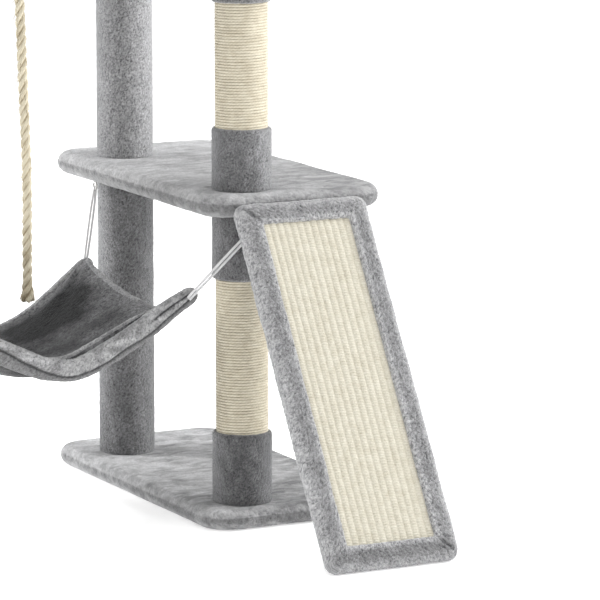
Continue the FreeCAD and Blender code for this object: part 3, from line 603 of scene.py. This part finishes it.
def make_fray(points, first, second):
    """Loose fibres that splay from the rope's cut end and stand off its sides."""
    chance = np.random.RandomState(5)
    fibres, run = [], []
    tip = len(points) - 1
    for number in range(260):
        at_end = number < 190
        start = tip - chance.randint(8, 20) if at_end else chance.randint(20, tip - 10)
        angle = chance.uniform(0, 2 * math.pi)
        reach = chance.uniform(0.018, 0.030) if at_end else chance.uniform(0.008, 0.016)
        lean = chance.uniform(0.05, 0.42) if at_end else chance.uniform(0.25, 0.6)
        depth = chance.uniform(0.001, 0.0075) if at_end else 0.0072
        side = math.cos(angle) * first[start] + math.sin(angle) * second[start]
        steps = np.linspace(0, 1, 7)[:, None]
        bend = chance.normal(scale=0.0012, size=3)
        line = (points[start] + side * depth + np.array([0, 0, -1]) * reach * steps
                + side * lean * reach * steps**1.5 + bend * steps**2)
        line = line[line[:, 2] > ROPE_END]
        if len(line) < 4:
            continue
        far = np.linspace(0, reach, len(line))
        thin = np.linspace(0.00034, 0.00016, len(line)) * chance.uniform(0.7, 1.2)
        ring, _, _ = tube_rings(line, far, thin, 5, 1, 1.0, 0.0)
        fibres.append(closed_tube(ring))
        run.append(np.full(len(fibres[-1][0]), number * 0.013))
    run = np.concatenate(run)
    facts = {"run": run, "turn": run * 0.7, "lane": run * 9, "relief": run * 0 - 0.3}
    fray = mesh_object("rope_fray", *joined(fibres), facts)
    return finish_piece(fray, "rope", SISAL_ROPE)


# ---- Covers


def rounded(points, half, corner):
    """Draw the corners of a rectangle's points in to a radius."""
    inner = np.array(half) - corner
    extra = np.abs(points) - inner
    cornered = (extra > 0).all(axis=1)
    chosen = extra[cornered]
    chosen = chosen * (chosen.max(axis=1) / np.hypot(*chosen.T))[:, None]
    out = points.copy()
    out[cornered] = np.sign(points[cornered]) * (inner + chosen)
    return out


def outline(half, corner, across, along):
    """Points round a rectangle with round corners, and the way out at each."""
    side = np.linspace(-1, 1, across + 1)[:-1]
    end = np.linspace(-1, 1, along + 1)[:-1]
    lap = np.concatenate([
        np.stack([side, side * 0 - 1], axis=1), np.stack([end * 0 + 1, end], axis=1),
        np.stack([-side, side * 0 + 1], axis=1), np.stack([end * 0 - 1, -end], axis=1),
    ]) * np.array(half)
    extra = np.maximum(np.abs(lap) - (np.array(half) - corner), 0) * np.sign(lap)
    return rounded(lap, half, corner), unit(extra)


def grid_border(across, along):
    """Which vertices of a grid lie on its border, in the outline's order."""
    index = np.arange((along + 1) * (across + 1)).reshape(along + 1, across + 1)
    return np.concatenate([index[0, :-1], index[:-1, -1], index[-1, :0:-1], index[:0:-1, 0]])


def flat_grid(half, corner, across, along):
    """A grid of points that fills a rectangle with round corners."""
    xs = np.linspace(-half[0], half[0], across + 1)
    ys = np.linspace(-half[1], half[1], along + 1)
    x, y = np.meshgrid(xs, ys)
    return rounded(np.stack([x.ravel(), y.ravel()], axis=1), half, corner)


def slab(half, corner, radius, step):
    """A closed slab with a round edge: points, outward directions and quads.

    The slab lies about z = 0 and is twice the radius thick."""
    flat = np.array(half) - radius
    inner_corner = max(corner - radius, 0.001)
    across, along = (max(4, round(2 * f / step)) for f in flat)
    face = flat_grid(flat, inner_corner, across, along)
    border = grid_border(across, along)
    rim, outward = outline(flat, inner_corner, across, along)
    top = np.column_stack([face, np.full(len(face), radius)])
    bottom = np.column_stack([face, np.full(len(face), -radius)])
    steps = max(6, round(math.pi * radius / step))
    points, normals = [top, bottom], [np.tile((0, 0, 1), (len(face), 1)),
                                      np.tile((0, 0, -1), (len(face), 1))]
    for number in range(1, steps):
        angle = math.pi * number / steps
        way = np.column_stack([outward * math.sin(angle), np.full(len(rim), math.cos(angle))])
        points.append(np.column_stack([rim, np.zeros(len(rim))]) + way * radius)
        normals.append(way)
    rows = [border, *loops(2 * len(face), steps - 1, len(rim)), border + len(face)]
    quads = grid_faces(along + 1, across + 1)
    faces = [quads, quads[:, ::-1] + len(face), *map(belt, rows, rows[1:])]
    return np.concatenate(points), np.concatenate(normals).astype(float), np.concatenate(faces)


COVER_CORNER = 0.052

# How a bolt's well sinks into the top cover: radii of its floor and mouth, and depth.
WELL_RADII = (0.0115, 0.0165)
WELL_DEPTH = 0.0092


def make_cover(node, step, seed, contrast, wells=()):
    """Cover a board in plush with a fat round edge."""
    low, high, centre = node_box(node)
    half = (high - low) / 2
    points, normals, faces = slab(half[:2], COVER_CORNER, half[2], step)
    placed = points + centre
    edge = 1 - np.abs(normals[:, 2])
    pile = curls(placed, 0.0040, seed=seed)
    lumps = noise(placed / 0.055, seed + 8)
    hollow = noise(placed / np.array([0.16, 0.10, 0.10]), seed + 9)
    rise = (pile - PILE_LEVEL) * (0.0012 + 0.0016 * edge) + 0.0008 * lumps * (0.4 + edge)
    rise += 0.0007 * hollow * (1 - edge)
    placed = placed + normals * rise[:, None]
    for x, y in wells:
        gap = np.hypot(placed[:, 0] - x, placed[:, 1] - y)
        sunk = (1 - smooth(*WELL_RADII, gap)) * (normals[:, 2] > 0.5)
        placed[:, 2] -= sunk * np.maximum(placed[:, 2] - (high[2] - WELL_DEPTH), 0)
    placed[:, 2] = np.maximum(placed[:, 2], FLOOR_GAP)
    streaks = brushed(placed, 0.015, (2.4, 1.2, 1.0), seed)
    zones = brushed(placed, 0.070, seed=seed + 6)
    patches = brushed(placed, 0.016, (1.4, 1.4, 1.0), seed + 3)
    brush_and_shade = (0.60 * streaks + 0.40 * zones) * (1 - edge) + (0.25 + 0.5 * patches) * edge
    # Painted light: lighter towards the back and the left of the top; painted shade on the rim's
    # lower faces.
    brush_and_shade = 0.5 + contrast * (brush_and_shade - 0.5) + 0.18 * (placed[:, 1] - centre[1]) / half[1]
    brush_and_shade -= 0.24 * (1 - edge) * (placed[:, 0] - centre[0]) / half[0]
    brush_and_shade = np.clip(brush_and_shade - 0.45 * edge * (normals[:, 2] < 0.2), 0, 1)
    shown = 0.72 + (pile - PILE_LEVEL) * (0.55 + 0.45 * edge)
    cover = mesh_object(f"{node}_plush", placed, faces, {"pile": shown, "brush_and_shade": brush_and_shade})
    return finish_piece(cover, "root", PLUSH_TOP, [node])


def make_covers():
    """Cover the bases, the middle platforms and the top platform."""
    for number, name in enumerate(TOWERS):
        make_cover(f"base_cover_{name}", 0.0020, 40 + number, 1.7)
        make_cover(f"platform_cover_{name}", 0.0020, 50 + number, 1.2)
    wells = [node_box(f"tube_{row}_upper_{name}")[2][:2]
             for row in ("front", "back") for name in TOWERS]
    make_cover("top_cover", 0.0036, 60, 0.8, wells)


# ---- Posts


def lathe(profile, step):
    """Turn a profile of radius and height about Z: points, ways out and quads."""
    profile = np.array(profile)
    far = distances(profile)
    count = max(4, round(far[-1] / step))
    along = np.linspace(0, far[-1], count + 1)
    radius = np.interp(along, far, profile[:, 0])
    height = np.interp(along, far, profile[:, 1])
    sides = round(2 * math.pi * radius.max() / step)
    slope = unit(np.stack([np.gradient(height), -np.gradient(radius)], axis=1))
    angle = circle(sides)
    ring = np.stack([np.cos(angle), np.sin(angle)], axis=1)
    points = np.concatenate([radius[:, None, None] * ring[None],
                             np.broadcast_to(height[:, None, None], (count + 1, sides, 1))], axis=2)
    ways = np.concatenate([slope[:, :1, None] * ring[None],
                           np.broadcast_to(slope[:, 1:, None], (count + 1, sides, 1))], axis=2)
    faces = grid_faces(count + 1, sides, around=True)
    return points.reshape(-1, 3), ways.reshape(-1, 3), faces


def rounded_profile(radius, bore, foot, head, rounding):
    """The half section of a sleeve with soft, rounded ends."""
    turn = np.linspace(0, math.pi / 2, 7)
    start, end = rounding * (1 - np.sin(turn)), rounding * (1 - np.cos(turn))
    low, high = zip(radius - start, foot + end), zip(radius - end, head - start)
    return [(bore, foot), *low, *high, (bore, head)]


WRAP_BORE = 0.0352
WRAP_RADIUS = 0.044
SLEEVE_RADIUS = 0.045

# Painted light: the way from which the posts are painted lighter on one side.
PAINTED_LIGHT_SIDE = np.array([0.89, -0.46, 0.0])


def make_wrap(node, radius, rounding, step, seed, upright, shade, side_light):
    """Wrap a post in plush, painted lighter on its lit side by set amounts at its foot and its
    head, with painted shade all round.
    """
    low, high, centre = node_box(node)
    profile = rounded_profile(radius, WRAP_BORE, low[2] - 0.001, high[2] + 0.0008, rounding)
    points, ways, faces = lathe(profile, step)
    placed = points + np.array([centre[0], centre[1], 0.0])
    pile = curls(placed, 0.0023, (1.0, 1.0, 1.0 + 0.5 * upright), seed)
    lumps = noise(placed / 0.05, seed + 8)
    placed = placed + ways * ((pile - PILE_LEVEL) * 0.0016 + 0.0006 * lumps)[:, None]
    zones = brushed(placed, 0.030, (1.0, 1.0, 1.8), seed)
    share = (placed[:, 2] - low[2]) / (high[2] - low[2])
    # Painted light: lighter on the side that faces the light, darker on the far side.
    lean = (side_light[0] * (1 - share) + side_light[1] * share) * (ways @ PAINTED_LIGHT_SIDE)
    brush_and_shade = np.clip(0.12 + 0.28 * zones + shade + lean, 0, 1)
    label = f"{node}_plush" if node.startswith("sleeve") else f"{node}_pile"
    wrap = mesh_object(label, placed, faces, {"pile": pile, "brush_and_shade": brush_and_shade})
    return finish_piece(wrap, "root", PLUSH_POST, [node])


# Sisal cord on the front posts: its radius, how far round it the fibres go, the
# pitch of its turns, how far out its middle lies, the lay of its plies, and how far
# it goes under the sleeves.
SISAL_RADIUS = 0.00226
SISAL_GRAIN = 0.0023
SISAL_PITCH = 0.0043
SISAL_REACH = 0.0378
SISAL_LAY = 0.011
SISAL_TUCK = 0.002


def make_winding(node, seed):
    """Wind sisal cord round a post in close turns."""
    low, high, centre = node_box(node)
    height = high[2] - low[2] + 2 * SISAL_TUCK
    turns = height / SISAL_PITCH
    per_turn, sides = 84, 8
    steps = round(turns * per_turn)
    lap = np.linspace(0, turns, steps + 1)
    angle = lap * 2 * math.pi
    along = angle * SISAL_REACH
    wobble = line_noise(lap * 2.3, 0, seed)
    settle = noise(np.stack([np.cos(angle) * 2, np.sin(angle) * 2, lap * 0.35], axis=1), seed + 1)
    level = low[2] - SISAL_TUCK + height * lap / turns + 0.00035 * settle
    reach = SISAL_REACH + 0.0002 * wobble
    around = circle(sides)
    ply = 2 * (around[None, :] - 2 * math.pi * along[:, None] / SISAL_LAY)
    relief = 0.5 + 0.5 * np.cos(ply)
    size = SISAL_RADIUS * (0.93 + 0.09 * relief) * (1 + 0.04 * wobble[:, None])
    radial = reach[:, None] + size * np.cos(around)
    points = np.stack([centre[0] + radial * np.cos(angle)[:, None],
                       centre[1] + radial * np.sin(angle)[:, None],
                       level[:, None] + size * np.sin(around)], axis=2)
    # The relief fact also paints the grooves between the plies darker, as painted shade.
    facts = {"run": along[:, None], "turn": SISAL_GRAIN * around, "lane": 0.6 * lap[:, None],
             "relief": relief}
    facts = {key: np.broadcast_to(fact, relief.shape).ravel() for key, fact in facts.items()}
    faces = grid_faces(steps + 1, sides, around=True)
    winding = mesh_object(f"{node}_turns", points.reshape(-1, 3), faces, facts)
    return finish_piece(winding, "root", SISAL_WRAP, [node])


# Painted light and shade on the sleeves: the shift all round, and the extra light on the lit side
# at the foot and the head.
SLEEVE_PAINTED_LIGHT = {
    ("bottom", "lower"): (-0.19, (0.0, 0.0)),
    ("top", "lower"): (-0.09, (0.0, 0.0)),
    ("bottom", "upper"): (-0.06, (0.16, 0.16)),
    ("top", "upper"): (0.00, (0.16, 0.16)),
}
# Painted light and shade on the plush wraps, in the same way; the upper storey is painted lighter.
WRAP_PAINTED_LIGHT = {"lower": (0.00, (0.14, -0.30)), "upper": (0.50, (0.30, 0.30))}


def make_posts():
    """Dress the four front posts and the four back posts."""
    seed = 70
    for name in TOWERS:
        for storey in ("lower", "upper"):
            seed += 3
            for end in ("bottom", "top"):
                make_wrap(f"sleeve_{end}_{storey}_{name}", SLEEVE_RADIUS, 0.005, 0.0011,
                          seed + (end == "top"), 0.4, *SLEEVE_PAINTED_LIGHT[end, storey])
            make_winding(f"sisal_wrap_{storey}_{name}", seed)
            make_wrap(f"plush_wrap_{storey}_{name}", WRAP_RADIUS, 0.003, 0.0012, seed + 2, 1.0,
                      *WRAP_PAINTED_LIGHT[storey])


# ---- Ramp

RAMP_CENTRE = node_box("ramp_cover")[2]
RAMP_RISE, RAMP_RUN = 0.4705, 0.291
RAMP_SLOPE = math.atan2(RAMP_RISE, RAMP_RUN)
RAMP_ALONG = np.array([0.0, math.cos(RAMP_SLOPE), math.sin(RAMP_SLOPE)])
RAMP_OUT = np.array([0.0, -math.sin(RAMP_SLOPE), math.cos(RAMP_SLOPE)])
RAMP_HALF = np.array([0.109, 0.2906])
RAMP_EDGE = 0.014
RAMP_CORNER = 0.002
MAT_HALF = np.array([0.073, 0.255])
MAT_FOOT = 0.0061


def on_ramp(points):
    """Stand points that lie along the ramp's own axes in the row frame."""
    return (RAMP_CENTRE + points[:, :1] * np.array([1.0, 0.0, 0.0])
            + points[:, 1:2] * RAMP_ALONG + points[:, 2:] * RAMP_OUT)


def make_ramp_cover():
    """Frame the mat in padded plush with a round outer edge."""
    step = 0.00165
    flat = RAMP_HALF - RAMP_EDGE
    across, along = (round(2 * f / step) for f in flat)
    inner, _ = outline(MAT_HALF - 0.0015, 0.003, across, along)
    outer, outward = outline(flat, RAMP_CORNER, across, along)
    fraction = np.concatenate([np.linspace(0, 0.12, 5), np.linspace(0.16, 1, 15)])
    lift = np.concatenate([[0.0065, 0.0095, 0.0118, 0.0134, 0.0142],
                           0.0146 - 0.0006 * np.linspace(0, 1, 15) ** 2])
    points, normals = [], []

    def add_row(xy, z, way):
        """Keep one loop of the frame."""
        points.append(np.column_stack([xy, np.full(len(xy), z)]))
        normals.append(way)

    up = np.tile((0.0, 0.0, 1.0), (len(inner), 1))
    for t, z in zip(fraction, lift):
        lean = max(0.0, 1 - t / 0.14)
        way = up - lean * np.column_stack([outward, np.zeros(len(outward))])
        add_row(inner * (1 - t) + outer * t, z, unit(way))
    bends = 24
    for number in range(1, bends + 1):
        angle = math.pi * number / bends
        way = np.column_stack([outward * math.sin(angle), np.full(len(outer), math.cos(angle))])
        add_row(outer + outward * RAMP_EDGE * math.sin(angle), RAMP_EDGE * math.cos(angle), way)
    count = len(points) * len(outer)
    rows = [*loops(0, len(points), len(outer)), grid_border(across, along) + count]
    faces = [grid_faces(along + 1, across + 1)[:, ::-1] + count, *map(belt, rows, rows[1:])]
    back = flat_grid(flat, RAMP_CORNER, across, along)
    add_row(back, -RAMP_EDGE, np.tile((0.0, 0.0, -1.0), (len(back), 1)))
    points, normals = np.concatenate(points), np.concatenate(normals)
    creases = np.zeros(len(points))
    for sx, sy in ((-1, 1), (1, -1)):
        corner = np.array([sx, sy]) * MAT_HALF
        gap = points[:, :2] - corner
        out = gap @ (np.array([sx, sy]) / math.sqrt(2))
        off = np.abs(gap @ (np.array([sx, -sy]) / math.sqrt(2)))
        creases += (smooth(0.0, 0.004, out) * (1 - smooth(0.0008, 0.0045, off))
                    * (normals[:, 2] > 0.2))
    pile = curls(points, 0.0027, (1.0, 1.4, 1.0), seed=90)
    lumps = noise(points / 0.045, 95)
    edge = 1 - np.abs(normals[:, 2])
    rise = (pile - PILE_LEVEL) * 0.0026 + 0.0011 * lumps - 0.0018 * creases
    points = points + normals * rise[:, None]
    placed = on_ramp(points)
    placed[:, 2] = np.maximum(placed[:, 2], FLOOR_GAP)
    away = np.abs(points[:, :2]) - MAT_HALF
    reach = away.max(axis=1)
    # Painted light and shade: lighter on the round outer edge and at the rim by the mat, darker
    # along the frame's crest, and darker at the foot.
    rim = 1 - smooth(0.002, 0.009, reach)
    crest = smooth(0.004, 0.012, reach) * (1 - smooth(0.018, 0.030, reach))
    brush_and_shade = 0.36 + 0.38 * brushed(points, 0.026, (1.2, 1.6, 1.0), 91) - 0.30 * crest
    foot = smooth(0.0, 0.02, -points[:, 1] - MAT_HALF[1])
    brush_and_shade = np.clip(brush_and_shade + 0.50 * np.sqrt(edge) + 0.30 * rim - 0.25 * foot, 0, 1)
    # Painted shade: the pile is painted darker in the creases.
    cover = mesh_object("ramp_cover_plush", placed, np.concatenate(faces),
                        {"pile": np.clip(pile - 0.3 * creases, 0, 1), "brush_and_shade": brush_and_shade})
    return finish_piece(cover, "root", PLUSH_RAMP, ["ramp_cover"])


def make_mat():
    """Weave the ramp's ribbed mat."""
    ribs, half = 13, MAT_HALF - 0.0004
    columns, lines = 150, 600
    x = np.linspace(-half[0], half[0], columns + 1)
    y = np.linspace(-half[1], half[1], lines + 1)
    gx, gy = (g.ravel() for g in np.meshgrid(x, y))
    rib = gx / (2 * half[0]) * ribs
    rough = noise(np.stack([gx / 0.0024, gy / 0.0020, gx * 0], axis=1), 96)
    wander = noise(np.stack([gx / 0.03, gy / 0.05, gx * 0], axis=1), 97)
    rib = rib + 0.06 * rough
    crown = np.abs(np.cos(math.pi * rib)) ** 0.8
    row = gy / 0.0042 + 0.5 * np.floor(rib + 0.5) + 0.10 * wander
    loop = 0.5 + 0.5 * np.cos(2 * math.pi * row)
    gz = 0.0085 + 0.0011 * crown + 0.0010 * loop * crown + 0.0003 * rough + 0.0003 * wander
    faces = grid_faces(lines + 1, columns + 1)
    top = np.stack([gx, gy, gz], axis=1)
    # Painted shade: darker between the ribs and the loops, with random tone from rough.
    relief = crown * 0.9 + loop * 0.8 + 0.5 * rough
    border = grid_border(columns, lines)
    skirt = top[border]
    skirt[:, 2] = MAT_FOOT
    points = np.concatenate([top, skirt])
    edge = np.arange(len(border)) + len(top)
    sides = belt(border, edge)
    facts = {"run": gy, "turn": gx, "lane": gx * 0, "relief": relief}
    facts = {key: np.concatenate([v, v[border]]) for key, v in facts.items()}
    mat = mesh_object("ramp_mat_weave", on_ramp(points), np.concatenate([faces, sides]), facts)
    return finish_piece(mat, "root", SISAL_MAT, ["ramp_mat"])


# ---- Hammock

BED_CENTRE_Y = 0.1055
BED_HALF_DEPTH = 0.2045

# How far the plain sheet goes towards the hems, as shares of the half sizes.
BED_REACH = (0.985, 0.955)

# The bed from front to back: share of its half depth, half width, height at
# the ends, height in the middle, radius of the round bottom.
BED_SECTIONS = np.array([
    (-1.00, 0.217, 0.378, 0.281, 0.060),
    (-0.86, 0.217, 0.357, 0.266, 0.090),
    (-0.50, 0.216, 0.327, 0.248, 0.150),
    (0.00, 0.216, 0.325, 0.241, 0.200),
    (0.50, 0.217, 0.338, 0.242, 0.220),
    (0.86, 0.220, 0.355, 0.247, 0.230),
    (1.00, 0.223, 0.363, 0.251, 0.230),
])


def eased(at, knots, values):
    """A smooth curve through the values at the knots."""
    slopes = np.gradient(values, knots)
    left = np.clip(np.searchsorted(knots, at, side="right") - 1, 0, len(knots) - 2)
    gap = knots[left + 1] - knots[left]
    t = (at - knots[left]) / gap
    rise = t * t * (3 - 2 * t)
    return (values[left] * (1 - rise) + values[left + 1] * rise
            + gap * t * (1 - t) * (slopes[left] * (1 - t) - slopes[left + 1] * t))


def bed_surface(u, v):
    """The bed's upper face. u runs from left to right and v from front to back, -1 to 1."""
    knots = BED_SECTIONS[:, 0]
    half, ends, middle, radius = (eased(v, knots, column) for column in BED_SECTIONS[:, 1:].T)
    spare = 2 * radius - (ends - middle)
    angle = 2 * np.arctan((half - np.sqrt(half**2 - (ends - middle) * spare)) / spare)
    x = np.abs(u) * half
    inside = np.minimum(x, radius * np.sin(angle))
    z = middle + radius - np.sqrt(radius**2 - inside**2) + (x - inside) * np.tan(angle)
    bow = 1 - 0.030 * (1 - np.abs(u) ** 2) * np.abs(v) ** 6
    return np.stack([u * half, BED_CENTRE_Y + v * BED_HALF_DEPTH * bow, z], axis=-1)


def make_bed():
    """Sag a double layer of plush between the four corners."""
    columns, lines = 220, 190
    u, v = np.meshgrid(np.linspace(-BED_REACH[0], BED_REACH[0], columns + 1),
                       np.linspace(-BED_REACH[1], BED_REACH[1], lines + 1))
    top = bed_surface(u, v)
    across, along = np.gradient(top, axis=1), np.gradient(top, axis=0)
    way = unit(np.cross(across, along))
    folds = np.zeros(u.shape)
    for su, sv in itertools.product((-1, 1), repeat=2):
        du, dv = 1 - su * u, 1 - sv * v
        ray = np.arctan2(dv, du)
        far = np.hypot(du, dv)
        folds += np.sin(ray * 11 + 1.3 * su) * np.exp(-far * 1.6) * smooth(0.02, 0.25, far)
    top = top + way * (0.0030 * folds)[..., None]
    rim = np.minimum(1 - np.abs(u) / BED_REACH[0], 1 - np.abs(v) / BED_REACH[1])
    thick = 0.0105 * np.sqrt(smooth(0.0, 0.035, rim)) + 0.0006
    flat_top, flat_way = top.reshape(-1, 3), way.reshape(-1, 3)
    pile = curls(flat_top, 0.0036, seed=100)
    upper = flat_top + flat_way * ((pile - PILE_LEVEL) * 0.0022)[:, None]
    under_pile = curls(flat_top + 5.0, 0.0036, seed=101)
    lower = flat_top - flat_way * (thick.ravel() + (under_pile - PILE_LEVEL) * 0.0012)[:, None]
    points = np.concatenate([upper, lower])
    quads = grid_faces(lines + 1, columns + 1)
    border = grid_border(columns, lines)
    sides = belt(border, border + len(upper))
    faces = np.concatenate([quads, quads[:, ::-1] + len(upper), sides])
    # Painted light and shade: the sheet is painted lighter near its rim and darker in its hollow.
    edge = 1 - smooth(0.0, 0.20, rim.ravel())
    hollow = np.exp(-((flat_top[:, 0] - 0.110) / 0.075) ** 2
                    - ((flat_top[:, 1] - 0.225) / 0.060) ** 2)
    brush_and_shade = 0.46 + 0.34 * noise(flat_top / 0.045, 102) + 0.16 * noise(flat_top / 0.016, 104)
    brush_and_shade = np.clip(brush_and_shade + 0.60 * edge - 0.90 * hollow, 0, 1)
    under_brush = brushed(flat_top, 0.04, (1.5, 1.5, 1.0), 103)
    facts = {"pile": np.concatenate([pile, under_pile]),
             "brush_and_shade": np.concatenate([brush_and_shade, under_brush])}
    bed = mesh_object("hammock_sheet", points, faces, facts)
    return finish_piece(bed, "hammock", PLUSH_HAMMOCK_SHADED, ["hammock_bed"])


def roll(name, line, section, seed, ends=0.035, amount=0.0016):
    """Sweep a soft rolled hem along a line. section(t) gives its ring at a share of the way."""
    rows = len(line)
    t = np.linspace(0, 1, rows)
    rings = np.array([section(x) for x in t])
    tangent = unit(np.gradient(line, axis=0))
    up = unit(np.array([0.0, 0.0, 1.0]) - tangent * tangent[:, 2:])
    out = np.cross(tangent, up)
    close = np.clip(np.minimum(t, 1 - t) / ends, 0.0, 1)
    close = np.sqrt(np.clip(1 - (1 - close) ** 2, 0.0001, 1))
    offset = rings[..., :1] * out[:, None] + rings[..., 1:2] * up[:, None]
    middle = offset.mean(axis=1, keepdims=True)
    offset = middle + (offset - middle) * close[:, None, None]
    points = line[:, None] + offset
    flat, ways = points.reshape(-1, 3), unit(offset - middle).reshape(-1, 3)
    pile = curls(flat, 0.0034, seed=seed)
    flat = flat + ways * ((pile - PILE_LEVEL) * amount)[:, None]
    faces = grid_faces(rows, rings.shape[1], around=True)
    groove, shade = rings[..., 2].ravel(), rings[..., 3].ravel()
    # Painted shade: darker in the seam's groove and slit, and on the share below the seam.
    facts = {"pile": np.clip(pile * 0.8 + 0.16 - 0.7 * groove, 0, 1),
             "brush_and_shade": np.clip(brushed(flat, 0.022, (1.8, 1.0, 1.0), seed + 1)
                              - 0.4 * groove - 0.7 * shade, 0, 1)}
    hem = mesh_object(name, flat, faces, facts)
    return finish_piece(hem, "hammock", PLUSH_HEM)


# Where the seam lies along the front hem: share of the way from left to
# right, and how far down the hem it is.
SEAM = np.array([
    (0.00, 0.55), (0.20, 0.42), (0.36, 0.50), (0.46, 0.66), (0.56, 0.74), (0.70, 0.72),
    (0.85, 0.74), (0.94, 0.62), (1.00, 0.55),
])


def hem_section(share, front):
    """One ring of a long hem: out, up, how deep in a seam it lies, and its shade."""
    mid = 1 - abs(2 * share - 1)
    tall = 0.0270 + 0.0090 * smooth(0.02, 0.40, mid) - 0.0030 * smooth(0.7, 1.0, mid)
    deep = 0.0150 + 0.0040 * smooth(0.0, 0.4, mid)
    angle = circle(64)
    facing = np.cos(angle) > 0.05
    x = deep / 2 * np.sign(np.cos(angle)) * np.abs(np.cos(angle)) ** 0.7
    z = tall / 2 * np.sin(angle)
    wave = 0.0008 * math.sin(share * 46) + 0.0005 * math.sin(share * 19)
    seam = (0.5 - eased(share, *SEAM.T)) * tall + wave
    groove = np.exp(-((z - seam) / 0.0017) ** 2) * facing
    slit = smooth(0.80, 0.86, share) * (1 - smooth(0.955, 0.975, share))
    slot = np.exp(-((z - tall * 0.16) / 0.0015) ** 2) * facing * slit
    below = facing * smooth(0.0, 0.002, seam - z)
    x = x - (groove + 0.8 * slot) * 0.0036 - below * 0.0022
    return np.stack([x * (1 if front else -1), z - tall / 2, groove + slot, below], axis=1)


def oval(count, wide, tall, drop=0.0, shade=0.0):
    """An oval ring without a seam: out, up, seam depth and shade."""
    angle = circle(count)
    return np.stack([wide * np.cos(angle), tall * np.sin(angle) - drop, 0 * angle,
                     0 * angle + shade], axis=1)


def edge_section(share):
    """One ring of a short edge."""
    size = 0.0040 * (1 + 0.10 * math.sin(share * 31) + 0.08 * math.sin(share * 13))
    return oval(28, size, 1.1 * size, shade=0.34)


def make_hems():
    """Roll the hammock's four edges, and fold a lip inside the front one."""
    pieces = []
    share = np.linspace(0, 1, 360)
    gap = 0.0085 * smooth(0.47, 0.60, share) * (1 - smooth(0.68, 0.92, share))
    for name, end in (("front", -1), ("back", 1)):
        line = bed_surface(2 * share - 1, np.full(len(share), end * 0.975))
        line[:, 2] += 0.001 - gap * (end == -1)
        pieces.append(roll(f"hammock_hem_{name}", line,
                           lambda t, front=(end == -1): hem_section(t, front), 110 + end))
    for name, side in TOWERS.items():
        v = np.linspace(-0.96, 0.96, 250)
        line = bed_surface(np.full(len(v), side * 0.985), v) - np.array([0, 0, 0.0035])
        pieces.append(roll(f"hammock_edge_{name}", line, edge_section, 115 + side,
                           amount=0.0026))
    share = np.linspace(0, 1, 220)
    line = bed_surface(-0.16 + 1.02 * share, np.full(len(share), -0.885))
    line[:, 2] += 0.0085 - 0.009 * smooth(0.70, 1.0, share)
    pieces.append(roll("hammock_lip_front", line, lambda t: oval(24, 0.0048, 0.0060, 0.004),
                       118, ends=0.14))
    return pieces


def make_hammock():
    """Make the slung bed with its hems."""
    bed = make_bed()
    hems = make_hems()


# ---- Hard parts from the CAD

NODE_MATERIALS = {
    "base_board": BOARD, "platform_board": BOARD, "top_board": BOARD, "ramp_board": BOARD,
    "tube_plugs": PLUG, "tube_": TUBE,
    **dict.fromkeys(("joining_studs", "base_bolts", "base_washers", "top_bolts", "top_washers",
                     "hammock_eyes", "ramp_brackets", "ramp_screws", "rope_eye", "rope_link",
                     "rope_cap"), STEEL),
}


def dress_nodes():
    """Give each CAD node that stays its own material."""
    for name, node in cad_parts.items():
        stem = next((stem for stem in NODE_MATERIALS if name.startswith(stem)), None)
        if stem and not node.material_slots:
            node.data.materials.append(NODE_MATERIALS[stem])
        for slot in node.material_slots if stem else ():
            slot.material = NODE_MATERIALS[stem]


# ---- Surroundings


def make_floor():
    """Lay a plain pale floor that reaches the horizon."""
    n = Nodes("floor", Roughness=0.9, Specular_IOR_Level=0.1, Emission_Strength=0.42)
    n.shader.inputs["Emission Color"].default_value = (1, 1, 1, 1)
    grain = n.speckle(0.4)
    n.colour(n.ramp(grain, (0.3, (0.93, 0.93, 0.93)), (0.7, (0.95, 0.95, 0.95))))
    size, drop = 40.0, 0.0002
    points = [(x * size, y * size, -drop) for x, y in ((-1, -1), (1, -1), (1, 1), (-1, 1))]
    floor = mesh_object("floor", points, [[0, 1, 2, 3]])
    floor.data.materials.append(n.material)


def area_light(name, at, aim, size, power):
    """Hang one soft box."""
    light = bpy.data.lights.new(name, "AREA")
    light.shape = "RECTANGLE"
    light.size, light.size_y = size
    light.energy = power
    holder = add_object(name, light)
    holder.location = at
    holder.rotation_euler = (Vector(aim) - Vector(at)).to_track_quat("-Z", "Y").to_euler()


def make_lights():
    """Light the object softly from above and from both sides."""
    world = bpy.data.worlds.new("studio")
    bpy.context.scene.world = world
    world.use_nodes = True
    world.node_tree.nodes["Background"].inputs["Color"].default_value = (1, 1, 1, 1)
    world.node_tree.nodes["Background"].inputs["Strength"].default_value = 0.68
    area_light("top", (0.3, -0.2, 4.2), (0.1, 0.1, 0.3), (3.0, 3.0), 120)
    area_light("right", (3.4, -0.9, 1.6), (0.2, 0.0, 0.5), (1.4, 2.4), 92)
    area_light("left", (-2.6, 2.2, 2.0), (0.1, 0.1, 0.5), (1.6, 2.6), 120)
    bpy.context.scene.view_settings.view_transform = "Standard"


make_camera()
make_rope()
make_hammock_cords()
make_covers()
make_posts()
make_ramp_cover()
make_mat()
make_hammock()
dress_nodes()
make_floor()
make_lights()
